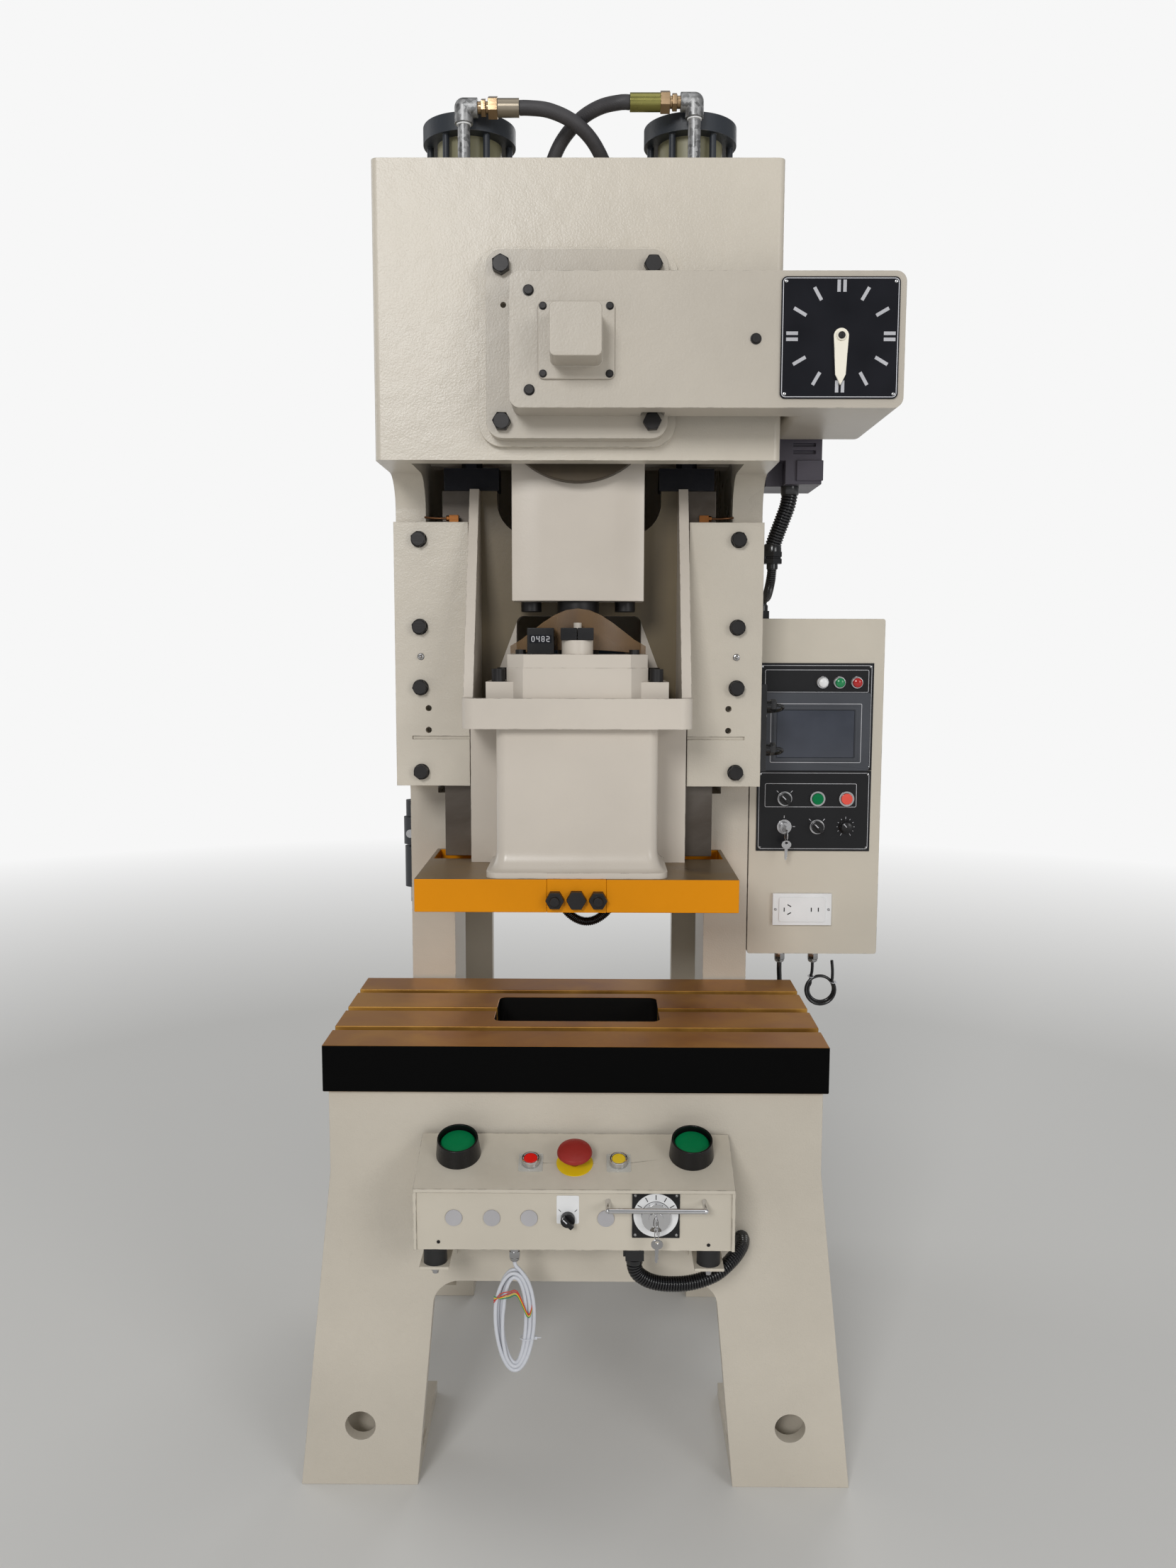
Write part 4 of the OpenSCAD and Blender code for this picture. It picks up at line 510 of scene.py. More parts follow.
finish = {
    # cream paint of frame, sheet metal, filled castings and front gearbox
    "cast": paint("creamCast", (196, 188, 174), 0.31, 330.0, 26.0, 0.5, 0.0018, wear=0.38, dust=0.2),
    "sheet": paint("creamSheet", (196, 188, 173), 0.38, 800.0, 60.0, 0.22, 0.0006, wear=0.45),
    "filled": paint("creamFilled", (198, 189, 177), 0.3, 260.0, 12.0, 0.2, 0.0012, wear=0.3, dust=0.15),
    # the front gearbox's cream is a little darker than the frame's
    "gearbox": paint("gearboxPaint", (180, 172, 159), 0.36, 300.0, 24.0, 0.42, 0.0014, wear=0.4, dust=0.2),
    # brown oil film with the painted shadow of the head, for the slide's back wall behind the rod
    "oilAndShadow": paint("oilAndShadowCast", (112, 98, 72), 0.3, 260.0, 12.0, 0.2, 0.0012, wear=0.2, dust=0.0, cloud=0.12),
    # other paints
    "bolsterSide": paint("bolsterPaint", (4, 4, 4), 0.4, 300.0, 60.0, 0.2, 0.0008,
                         wear=0.33, bare=(70, 58, 44), dust=0.0, specular=0.05),
    "ramPaint": paint("ramPaint", (216, 136, 4), 0.36, 300.0, 50.0, 0.25, 0.001,
                      wear=0.4, bare=(70, 50, 26), dust=0.0, specular=0.12),
    "yoke": paint("navyIron", (17, 18, 26), 0.42, 260.0, 40.0, 0.4, 0.0012,
                  wear=0.42, bare=(70, 68, 66), dust=0.1, specular=0.25),
    "cap": paint("cylinderCap", (36, 41, 48), 0.42, 300.0, 40.0, 0.4, 0.001, bare=(120, 118, 114), dust=0.3),
    "tube": paint("cylinderTube", (132, 128, 100), 0.38, 400.0, 20.0, 0.2, 0.0008, wear=0.3, dust=0.2),
    "motor": paint("motorPaint", (58, 84, 112), 0.4, 400.0, 60.0, 0.3, 0.001, dust=0.35),
    "pointer": paint("pointerPaint", (236, 230, 214), 0.36, 700.0, 60.0, 0.15, 0.0006, wear=0.35, dust=0.0),
    # machined, oiled and plated metals
    "bolster": metal("bolsterTop", (190, 140, 74), 0.4, 0.62, 520.0, (150, 88, 24), 0.85, 0.1,
                     wear=0.35, bright=(196, 166, 116)),
    "slot": metal("oiledSlot", (184, 138, 62), 0.36, 0.6, 300.0, (116, 78, 30), 0.8, 0.2),
    "ledge": metal("plateLedge", (146, 122, 86), 0.34, 0.6, 520.0, (92, 70, 42), 0.8, 0.1),
    "rail": metal("oiledRail", (96, 90, 84), 0.34, 0.8, 700.0, (58, 46, 34), 0.7),
    "shaft": metal("groundShaft", (150, 148, 146), 0.28, 1.0, 900.0, (90, 74, 52), 0.45),
    "iron": metal("darkIron", (66, 56, 42), 0.5, 0.5, 160.0, (34, 28, 20), 0.6, 0.3),
    "bolt": metal("blackBolt", (38, 36, 36), 0.42, 0.5, 400.0, (20, 19, 19), 0.6, 0.2,
                  wear=0.42, bright=(92, 88, 84)),
    "zinc": spangle("zincPipe", (150, 150, 150)),
    "brass": metal("brassFitting", (176, 150, 118), 0.28, 1.0, 500.0, (112, 90, 66), 0.35,
                   bright=(226, 208, 176)),
    "copper": metal("copperPipe", (120, 84, 58), 0.34, 1.0, 500.0, (72, 48, 32), 0.5,
                    bright=(180, 136, 100)),
    "oilBrass": metal("oilBrass", (132, 84, 46), 0.36, 1.0, 500.0, (84, 54, 30), 0.5,
                      bright=(196, 142, 96)),
    "ferrule": metal("paleFerrule", (158, 148, 132), 0.34, 0.8, 500.0, (112, 102, 88), 0.4,
                     bright=(206, 202, 186)),
    "khaki": metal("khakiFerrule", (150, 146, 84), 0.28, 0.85, 500.0, (98, 92, 46), 0.4,
                   bright=(206, 204, 140)),
    "chrome": metal("chromeTrim", (214, 214, 216), 0.09, 1.0, 900.0, (176, 174, 172), 0.25, 0.03,
                    bright=(245, 245, 245)),
    "steel": metal("platedSteel", (182, 182, 184), 0.24, 1.0, 700.0, (128, 124, 118), 0.35, 0.08,
                   bright=(236, 236, 236)),
    "bush": metal("bronzeBush", (176, 122, 62), 0.3, 1.0, 600.0, (96, 62, 30), 0.4),
    "drive": metal("turnedIron", (120, 120, 122), 0.36, 0.85, 900.0, (70, 64, 56), 0.45),
    # black and grey plastics and rubbers
    "pit": plastic("darkPit", (9, 8, 7), 0.6, 300.0, 0.2, specular=0.1),
    "dial": plastic("dialFilm", (11, 12, 20), 0.36, 1200.0, 0.05, 0.1, specular=0.16),
    "panel": plastic("panelFilm", (9, 9, 13), 0.33, 1200.0, 0.05, 0.1, specular=0.32),
    "housing": plastic("screenHousing", (54, 57, 64), 0.42, 1500.0, 0.2),
    "glassDark": plastic("screenGlass", (58, 62, 72), 0.12, 700.0, 0.02),
    "black": plastic("blackPlastic", (15, 14, 16), 0.28, 900.0, 0.1, 0.12, wear=0.25, specular=0.4),
    "conduit": plastic("conduitPlastic", (18, 18, 20), 0.2, 700.0, 0.06, 0.15, specular=0.6),
    "rubber": plastic("mountRubber", (22, 21, 21), 0.62, 500.0, 0.4, 0.15),
    "belt": plastic("beltRubber", (28, 27, 27), 0.6, 400.0, 0.4, 0.2),
    "hose": wovenRubber("hoseRubber", (58, 56, 58)),
    "unit": plastic("filterBody", (46, 48, 52), 0.4, 700.0, 0.2, wear=0.3),
    "inverter": plastic("inverterShell", (74, 70, 80), 0.45, 1200.0, 0.25, 0.08, wear=0.2),
    # buttons, lamps and pale plastics
    "green": plastic("greenCap", (2, 112, 64), 0.4, 1600.0, 0.35, 0.05, specular=0.12),
    "red": plastic("redCap", (146, 40, 34), 0.38, 1400.0, 0.2, specular=0.3),
    "lamp": plastic("redLamp", (226, 34, 26), 0.2, 900.0, 0.06, 0.05),
    "halt": plastic("haltCap", (226, 78, 62), 0.3, 900.0, 0.06, 0.05),
    "yellow": plastic("yellowCap", (224, 190, 42), 0.3, 900.0, 0.08, 0.05),
    "disc": plastic("stopDisc", (226, 192, 20), 0.4, 900.0, 0.08, 0.05),
    "lampGreen": plastic("greenLens", (18, 128, 74), 0.16, 900.0, 0.04, 0.04),
    "lampRed": plastic("redLens", (176, 30, 28), 0.16, 900.0, 0.04, 0.04),
    "white": plastic("whitePlastic", (226, 226, 226), 0.3, 1200.0, 0.06, 0.02),
    "plug": plastic("plugPlastic", (168, 166, 168), 0.45, 1300.0, 0.15, 0.03),
    "line": plastic("printedLine", (206, 206, 210), 0.45, 900.0, 0.04, 0.03),
    "tick": plastic("dialTick", (176, 176, 180), 0.4, 900.0, 0.04, 0.05),
    "sheath": plastic("whiteSheath", (200, 202, 208), 0.34, 700.0, 0.12, 0.03),
    "clear": plastic("clearPlate", (214, 214, 208), 0.14, 700.0, 0.05, 0.03, alpha=0.35),
    "amber": amberSheet("amberSheet", (150, 118, 80), (106, 80, 54), 0.52),
}
coreLooks = []
for i, colour in enumerate([(196, 30, 34), (226, 200, 40), (30, 132, 74), (198, 60, 40)]):
    coreLooks.append("core%d" % i)
    finish[coreLooks[i]] = plastic("coreWire%d" % i, colour, 0.35, 900.0, 0.05)
print("finishes made")


# finishes of the frame's own nodes

def dress(node, main, soft, parts=(), segments=2):
    # soft is the edges' bevel; parts is a list of (finish, test)
    # a test takes a face's centre in mm as x, y, z, and its normal
    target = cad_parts[node]
    mesh = target.data
    mesh.materials.clear()
    for look in [main] + [part[0] for part in parts]:
        mesh.materials.append(finish[look])
    count = len(mesh.polygons)
    centres, normals = np.zeros(count * 3), np.zeros(count * 3)
    mesh.polygons.foreach_get("center", centres)
    mesh.polygons.foreach_get("normal", normals)
    centres, normals = centres.reshape(-1, 3) / mm, normals.reshape(-1, 3)
    index = np.zeros(count, int)
    for i, (_, test) in enumerate(parts):
        for k in range(count):
            if test(*centres[k], normals[k]):
                index[k] = i + 1
    mesh.polygons.foreach_set("material_index", index)
    mesh.polygons.foreach_set("use_smooth", np.ones(count, bool))
    join = target.modifiers.new("join", "WELD")
    join.merge_threshold = 0.00001
    flat = target.modifiers.new("flat faces", "DECIMATE")
    flat.decimate_type = "DISSOLVE"
    flat.angle_limit = math.radians(0.6)
    flat.delimit = {"MATERIAL"}
    if soft:
        cut = target.modifiers.new("soft edges", "BEVEL")
        cut.width = soft * mm
        cut.segments = segments
        cut.limit_method = "ANGLE"
        cut.angle_limit = math.radians(38)
        cut.use_clamp_overlap = True
    even = target.modifiers.new("even light", "WEIGHTED_NORMAL")
    even.weight = 80
    even.keep_sharp = True


# nodes of one finish, with the bevel of their edges; the second set has rounder edges

plainNodes = {
    "cast": {"side_plate_left": 2.5, "side_plate_right": 2.5, "rear_frame": 2.5, "gib_plates": 1.6},
    "sheet": {"cabinet_box": 1.6, "flywheel_guard": 1.5},
    "filled": {"rod_cap": 2.0},
    "iron": {"crankshaft": 1.5},
    "shaft": {"crankpin": 1.0},
    "bush": {"crank_bushes": 0.8},
    "rail": {"slide_rails": 1.0},
    "bolt": {"adjusting_screw": 0.6},
    "drive": {"flywheel": 2.0, "motor_pulley": 1.0},
    "motor": {"motor": 1.5},
    "belt": {"drive_belts": 0.0},
    "inverter": {"inverter": 2.0},
    "housing": {"touch_screen": 1.2},
    "black": {"palm_guards": 0.6, "height_counter": 1.2, "light_selector": 1.0, "source_selector": 1.0,
              "curtain_selector": 1.0},
    "green": {"palm_button_left": 0.8, "palm_button_right": 0.8, "start_button": 0.8},
    "red": {"stop_button": 0.8},
    "lamp": {"red_button": 0.8},
    "yellow": {"yellow_button": 0.8},
    "halt": {"halt_button": 0.8},
    "chrome": {"mode_key_switch": 0.8},
    "steel": {"power_key": 0.8},
    "amber": {"screw_guard": 0.3},
}
roundNodes = {
    "cast": {"head_frame": 4.0, "base_frame": 3.0},
    "gearbox": {"bearing_cover": 4.0, "dial_box": 5.0, "dial_box_cap": 5.0},
}
for nodes, segments in ((plainNodes, 2), (roundNodes, 3)):
    for look, bevels in nodes.items():
        for node, bevel in bevels.items():
            dress(node, look, bevel, segments=segments)

# middles that several pieces share, as (x, z) on the press's front, and the balance cylinders' own

centreOf = {"dial": (406, 1938), "screen": (462, 1295), "source": (406, 1166), "curtain": (471, 1110),
            "key": (406, 1110), "speed": (528, 1110), "socket": (444.5, 944), "mode": (131, 561),
            "light": (-10, 554)}
cylinder = {"x": 196, "y": -165, "pipeY": -264}

# the console's sloping top starts at y, z; stop is the way up it to the middle row of buttons

slope = {"y": -590.0, "z": 603.0, "rise": math.atan2(44, 120), "stop": 58.79, "ring": 72}
slopeUp = Vector((0, -math.sin(slope["rise"]), math.cos(slope["rise"])))
slopeAlong = Vector((0, math.cos(slope["rise"]), math.sin(slope["rise"])))


def onSlope(x, along):
    return Vector((x, slope["y"], slope["z"])) + slopeAlong * along


def overSlope(x, y, z):
    # a point's distance up the slope from the middle row, and its height over the sheet
    rel = Vector((0, y - slope["y"], z - slope["z"]))
    return rel.dot(slopeAlong) - slope["stop"], rel.dot(slopeUp)


# where a node's second finish lies, in mm; reach is round the middle, half on each side of it

zones = {
    "disc": {"over": 0.2, "reach": 31}, "ring": {"over": 0.3, "reach": 16},
    "plugs": {"front": -587.2, "x": (-193, -132, -72, 51), "z": 554, "half": (15, 16)},
    "modePlate": {"front": -590.6, "back": -587.1, "half": 38.5},
    "handle": {"front": -590.5, "left": 45, "right": 215},
    "cap": {"foot": 2344.5, "reach": 58.5},
    "sleeve": {"from": 57.9, "reach": 20, "left": 2373, "right": 2382},
    "union": {"from": 24.2, "to": 58.1, "foot": 2340},
    "unit": {"drain": 934.5, "x": -369, "z": 1060, "reach": 9.6, "y": 225, "body": 22},
    "mountScrew": {"top": 464.9, "left": -226, "right": 218, "y": -566, "reach": 12},
    "footBolt": {"low": 1404.2, "high": 1426.3, "x": 136, "front": -341, "back": -219.3, "reach": 12.6},
    "lidBolt": {"low": 1451.2, "x": 98, "y": -333, "reach": 9.6},
}


def isDisc(x, y, z, n):
    at = zones["disc"]
    along, height = overSlope(x, y, z)
    return height > at["over"] and math.hypot(x, along) < at["reach"]


def isRing(x, y, z, n):
    at = zones["ring"]
    along, height = overSlope(x, y, z)
    return height > at["over"] and math.hypot(abs(x) - slope["ring"], along) < at["reach"]


def isPlug(x, y, z, n):
    at = zones["plugs"]
    wide, high = at["half"]
    return y < at["front"] and abs(z - at["z"]) < high and any(abs(x - middle) < wide for middle in at["x"])


def isModePlate(x, y, z, n):
    at = zones["modePlate"]
    mx, mz = centreOf["mode"]
    return at["front"] < y < at["back"] and max(abs(x - mx), abs(z - mz)) < at["half"]


def isHandle(x, y, z, n):
    at = zones["handle"]
    return y < at["front"] and at["left"] < x < at["right"]


def isCylinderCap(x, y, z, n):
    at = zones["cap"]
    return z > at["foot"] or math.hypot(abs(x) - cylinder["x"], y - cylinder["y"]) > at["reach"]


def isSleeve(side, height):
    # crimped sleeve at a hose's end, on the side's pipe
    def test(x, y, z, n):
        at = zones["sleeve"]
        return (x * side > 0 and abs(x * side - cylinder["x"]) > at["from"]
                and math.hypot(y - cylinder["pipeY"], z - at[height]) < at["reach"])
    return test


def isUnion(x, y, z, n):
    at = zones["union"]
    return at["from"] < abs(abs(x) - cylinder["x"]) <= at["to"] and z > at["foot"]


def isUnitMetal(x, y, z, n):
    # drain under the bowl, and the pipe ends at the body's two sides
    at = zones["unit"]
    atPipe = math.hypot(x - at["x"], z - at["z"]) < at["reach"] and abs(y - at["y"]) > at["body"]
    return z < at["drain"] or atPipe


def isMountScrew(x, y, z, n):
    at = zones["mountScrew"]
    aside = min(abs(x - at["left"]), abs(x - at["right"]))
    return z < at["top"] and math.hypot(aside, y - at["y"]) < at["reach"]


def isHousingBolt(x, y, z, n):
    foot, lid = zones["footBolt"], zones["lidBolt"]
    depth = min(abs(y - foot["front"]), abs(y - foot["back"]))
    atFoot = foot["low"] < z < foot["high"] and math.hypot(abs(x) - foot["x"], depth) < foot["reach"]
    return atFoot or (z > lid["low"] and math.hypot(abs(x) - lid["x"], y - lid["y"]) < lid["reach"])


dress("bolster", "slot", 1.5, [
    ("pit", lambda x, y, z, n: abs(x) < 148.6 and abs(y + 259) < 74.6 and z < 799.8),
    ("bolster", lambda x, y, z, n: z > 799.8),
    ("bolsterSide", lambda x, y, z, n: abs(x) > 424.8 or y < -474.8 or y > -51.2)])
dress("dial_plate", "dial", 0.4, [("tick", lambda x, y, z, n: y < -508.05)])
dress("dial_pointer", "pointer", 0.6, [("bolt", lambda x, y, z, n: y > -510.4)])
dress("balance_cylinders", "tube", 1.0, [("cap", isCylinderCap)])
dress("balancer_rods", "yoke", 1.5, [("shaft", lambda x, y, z, n: z > 1808)])
dress("air_pipes", "zinc", 0.7, [
    ("ferrule", isSleeve(-1, "left")), ("khaki", isSleeve(1, "right")), ("brass", isUnion)])
dress("air_unit", "unit", 1.0, [("steel", isUnitMetal)])
dress("control_panel", "panel", 0.5, [
    ("white", lambda x, y, z, n: z < 1000),
    ("steel", lambda x, y, z, n: y < -47.3 and z > 1000)])
dress("console_housing", "sheet", 1.2, [
    ("disc", isDisc), ("chrome", isRing), ("plug", isPlug), ("chrome", isHandle), ("black", isModePlate)])
dress("console_mounts", "sheet", 0.8, [("rubber", lambda x, y, z, n: z > 470.2), ("steel", isMountScrew)])
dress("connecting_rod", "filled", 2.5, [("bolt", lambda x, y, z, n: z < 1542.9)], segments=3)
# the slide's back wall behind the rod is painted darker brown: an oil film plus the painted shadow of the
# head above it
dress("slide", "filled", 7.0, [
    ("oilAndShadow", lambda x, y, z, n: n[1] < -0.9 and y > -181 and z > 1480)], segments=3)
dress("slide_plate", "ramPaint", 1.5, [("ledge", lambda x, y, z, n: n[2] > 0.9 and z > 1067.5)])
dress("shank_clamp", "ramPaint", 1.2, [("bolt", lambda x, y, z, n: y < -393.2)])
dress("screw_housing", "filled", 2.5, [("bolt", isHousingBolt)])
print("frame dressed")


# free cables; lead is the way from the exit into the first turn

signalCable = {
    "name": "signalCable", "node": "signal_cable", "exit": (-97, -565, 470.0), "thick": 6.4,
    "stiffness": "limp", "look": "sheath", "slot": "white_plastic",
    "lead": ((-96.9, -565.4, 466.5), (-95.0, -566.4, 462.0), (-89.5, -567.6, 457.0)),
    "centre": (-97, 369.5), "half": 87.0, "front": -568.2, "back": -561.6, "steps": 40,
    "begin": 0.07, "stop": 0.18, "turns": ((31.6, 0), (24.9, 0), (18.2, 0), (21.6, 1), (28.3, 1))}


def signalRoute(plan):
    # joins the outermost turn at its right shoulder, winds inwards, then back outwards behind
    turns, last = plan["turns"], len(plan["turns"]) - 1
    route = [Vector(p) for p in (plan["exit"], *plan["lead"])]
    for i, (wide, layer) in enumerate(turns):
        nextWide, nextLayer = turns[min(i + 1, last)]
        for k in range(plan["steps"]):
            share = k / plan["steps"]
            if i == 0 and share < plan["begin"]:
                continue
            if i == last and share > plan["stop"]:
                return route
            move = min(1, max(0, (share - (last - i) / len(turns)) * len(turns))) if i < last else 0
            w, depth = wide + (nextWide - wide) * move, layer + (nextLayer - layer) * move
            t = 2 * math.pi * share
            h = plan["half"] - (turns[0][0] - w)
            x = plan["centre"][0] + w * math.sin(t) * (1 + 0.1 * math.cos(t))
            z = plan["centre"][1] + h * math.cos(t)
            y = plan["front"] + (plan["back"] - plan["front"]) * depth
            route.append(Vector((x, y, z)))
    return route


spareCable = {
    "name": "spareCable", "node": "spare_cable", "exit": (478, 5, 821.7), "thick": 6.2,
    "stiffness": "medium", "look": "conduit", "slot": "black_plastic",
    "lead": ((478, 5, 812), (477.4, 5.5, 801), (475.4, 6.6, 790)),
    "centre": (495, 764), "y": 5.0, "radius": (23.4, 6.4), "forward": (3.4, 6.8),
    "start": 148, "sweep": 610, "steps": 40,
    "tail": ((0.6, 0, 9), (0.4, 0, 25), (-1.5, 0, 44))}


def spareRoute(plan):
    # one and a half turns that widen and come forward, then the bare end up beside them
    cx, cz = plan["centre"]
    (narrow, wider), (behind, ahead) = plan["radius"], plan["forward"]
    route = [Vector(p) for p in (plan["exit"], *plan["lead"])]
    for k in range(plan["steps"] + 1):
        share = k / plan["steps"]
        t = math.radians(plan["start"] + plan["sweep"] * k / plan["steps"])
        r = narrow + wider * min(1, share * 1.7)
        y = plan["y"] + behind - ahead * min(1, max(0, (share - 0.25) * 2.2))
        route.append(Vector((cx + r * math.cos(t), y, cz + r * math.sin(t))))
    end = route[-1]
    return route + [end + Vector(step) for step in plan["tail"]]


def cordLine(plan, route):
    return evenLine(smoothLine(route, 10), plan["thick"] * 0.35)


def makeCord(plan, line, extra):
    data = bpy.data.curves.new(plan["name"], "CURVE")
    data.dimensions = "3D"
    data.bevel_depth = plan["thick"] / 2 * mm
    data.bevel_resolution = 5
    data.use_fill_caps = True
    spline = data.splines.new("POLY")
    spline.points.add(len(line) - 1)
    for point, found in zip(spline.points, line):
        point.co = (*(found * mm), 1.0)
    spline.use_smooth = True
    data.materials.append(finish[plan["look"]])
    piece = bpy.data.objects.new(plan["name"], data)
    bpy.context.scene.collection.objects.link(piece)
    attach(piece, "frame")
    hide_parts(plan["node"])


def makeCoreWires(end, shifts=(0.0, 1.5, 3.0, -1.5)):
    # bare cores from the cable's cut end, laid across the front of the hank
    bm = bmesh.new()
    for i, shift in enumerate(shifts):
        start = end + Vector((0, 0, -1))
        path = [start, start + Vector((2.5, -5.0, -8 - shift)),
                Vector((end.x - 4, -573.3 - 0.4 * i, end.z - 26 - shift * 1.4)),
                Vector((-92, -574.4, 419 - shift * 1.8)), Vector((-106, -574.2, 418 - shift * 2.2)),
                Vector((-120, -573.6, 412 - shift * 1.6 + i)), Vector((-131, -571.5, 405 + shift * 2.4))]
        addTube(bm, smoothLine(path, 6), 0.75, 8, i)
    return finishPiece(bm, "signalCores", "frame", coreLooks)


def makeSignalTie(end):
    # tape bound over the cut end and a tie round the right-hand strands
    bm = bmesh.new()
    tape = [end + Vector(step) for step in ((0, 0, 9), (0, -0.2, 4), (0.4, -0.5, -3), (1.2, -1.6, -7))]
    addTube(bm, smoothLine(tape, 4), [4.0 - 0.16 * k for k in range(13)], 14)
    addTube(bm, hoop((-76, -565, 338), (12.5, 0, 0.6), (0, 8.6, 0), 24), 0.9, 8)
    addBox(bm, (-65.5, -567.5, 335.5), (-60.5, -562.5, 340.5))
    addBox(bm, (-61, -566, 337.2), (-54, -565, 338.8))
    return finishPiece(bm, "signalTie", "frame", ["sheath"], 0.2)


def makeSpareTie(spots=((475.5, 792), (521, 780))):
    bm = bmesh.new()
    for cx, cz in spots:
        addTube(bm, hoop((cx, 5, cz), (5.6, 0, 0), (0, 7.2, 0.8), 20), 0.8, 8)
        addBox(bm, (cx + 4.5, 2.5, cz - 2), (cx + 8, 6.0, cz + 2))
    return finishPiece(bm, "spareTie", "frame", ["sheath"], 0.2)


signalLine = cordLine(signalCable, signalRoute(signalCable))
makeCord(signalCable, signalLine, [makeCoreWires(signalLine[-1]), makeSignalTie(signalLine[-1])])
makeCord(spareCable, cordLine(spareCable, spareRoute(spareCable)), [makeSpareTie()])
print("cables laid")


# flexible conduits, with the radius in their valleys and peaks, pitch and sides
# fittings are (profile, place, axis, sides), boxes two corners

conduitSet = {
    "console": [(98, -565, 475.7), (98, -565, 462), (106, -564, 447), (128, -562, 434), (160, -558, 428),
                (196, -551, 428), (232, -540, 436), (260, -520, 449), (278, -495, 458), (284, -475, 461),
                (284, -460.3, 461)],
    "inverter": [(388, -150, 1757.7), (388, -150, 1744), (384, -150, 1722), (376, -147, 1698),
                 (367, -142, 1672), (361, -138, 1652), (360, -137, 1640.3)],
    "cabinet": [(360, -137, 1617.7), (360, -136, 1608), (359, -130, 1590), (358, -112, 1572),
                (358, -84, 1560), (358, -52, 1558), (359, -24, 1562), (361, -4, 1560), (362, 5, 1552),
                (362, 6, 1547.3)],
    "supply": [(410, 5, 821.7), (410, 5, 806), (411, 5, 786), (412, 6, 760), (412, 8, 724), (408, 11, 684),
               (398, 14, 652), (382, 17, 634), (362, 19, 626), (346, 20, 624), (335.3, 20, 624)],
    "corrugated": {"console": (10.6, 12.5, 4.4, 20), "inverter": (13.0, 15.0, 5.2, 24),
                   "cabinet": (7.4, 9.0, 3.4, 20)},
    "supplyRadius": 5.0,
    "fittings": [
        # collar of the elbow box under the console
        ([(13.6, 0), (13.6, 7), (12.9, 8)], (98, -565, 476), toFloor, 24),
        # nut and collars between the inverter's and the cabinet's conduit
        ([(19, 0), (19, 9), (17, 10), (17, 12), (19, 13), (19, 22)], (360, -137, 1618), toTop, 6),
        ([(16.4, 0), (16.4, 12), (15.2, 14)], (360, -137, 1640), toTop, 28),
        ([(16.4, 0), (16.4, 14), (15.2, 16)], (388, -150, 1758), toFloor, 28),
        ([(10.4, 0), (10.4, 9), (9.4, 10)], (360, -137, 1618), toFloor, 24),
        # nut and collar on the cabinet
        ([(15, 0), (15, 16)], (362, 6, 1519), toTop, 6),
        ([(11, 0), (11, 11), (9.8, 12.4)], (362, 6, 1535), toTop, 24)],
    # elbow box, its latch, bracket of the upper nut, sensor strip beside the gib
    "boxes": [((83, -578, 477), (113, -550, 499.9)), ((79.5, -572, 482), (83, -556, 495)),
              ((335, -149, 1626), (347, -125, 1631)), ((335, -204, 1236), (346, -188, 1396))],
    "plugHeights": (1277, 1357)}


def makeConduits(plan):
    bm = bmesh.new()
    for key, sizes in plan["corrugated"].items():
        addCorrugated(bm, plan[key], *sizes)
    addTube(bm, evenLine(smoothLine(plan["supply"]), 6), plan["supplyRadius"], 14)
    for profile, foot, axis, sides in plan["fittings"]:
        addLathe(bm, profile, foot, axis, sides)
    for low, high in plan["boxes"]:
        addBox(bm, low, high)
    for z in plan["plugHeights"]:
        # the sensor strip's plugs and short leads
        addLathe(bm, [(9, 0), (9, 8)], (346, -196, z), toRight, 20)
        addLathe(bm, [(12, 0), (12, 8), (10.6, 10)], (354, -196, z), toRight, 6)
        lead = [(360, -196, z), (372, -195, z), (378, -188, z - 4), (374, -168, z - 10), (352, -150, z - 14),
                (337, -146, z - 14)]
        addTube(bm, smoothLine(lead, 5), 3.2, 10)
    finishPiece(bm, "conduits", "frame", ["conduit"], 0.5, hides=["flexible_conduits"])


# cable glands under a wall, with the radius of their hex flange

glandSet = ((410, 5, 852, 12), (478, 5, 852, 12), (-97, -565, 500, 10.2))


def makeGlands(plan):
    bm = bmesh.new()
    for x, y, z, r in plan:
        # hex flange, body, dome nut and seal
        for profile, sides in (([(r, 0), (r, 5.5), (r - 0.8, 6)], 6),
                               ([(r - 2.2, 6), (r - 2.2, 14)], 24),
                               ([(r - 0.6, 12), (r - 0.6, 22), (r - 1.4, 23)], 6),
                               ([(r - 1.8, 23), (r - 2.6, 27), (r - 5, 29.6), (r - 6.4, 29.6)], 24)):
            addLathe(bm, profile, (x, y, z), toFloor, sides)
    finishPiece(bm, "glands", "frame", ["steel"], 0.35)


# conduit behind the slide plate, with a nut at each end

ramConduit = [(-52, -74.7, 1030), (-52, -64, 1030), (-51, -54, 1020), (-48, -48, 996), (-40, -46, 962),
              (-20, -46, 932), (8, -46, 917), (36, -46, 922), (62, -47, 946), (78, -48, 982), (85, -52, 1014),
              (88, -63, 1030), (88, -74.7, 1030)]


def makeRamConduit(points):
    bm = bmesh.new()
    addCorrugated(bm, points, 7.3, 9.0, 3.6)
    for x, y, z in (points[0], points[-1]):
        addLathe(bm, [(12, -1), (12, 7), (10.4, 9)], (x, -74.8, z), toBack, 6)
    finishPiece(bm, "ramConduit", "ram", ["conduit"], 0.4, hides=["slide_conduit"])


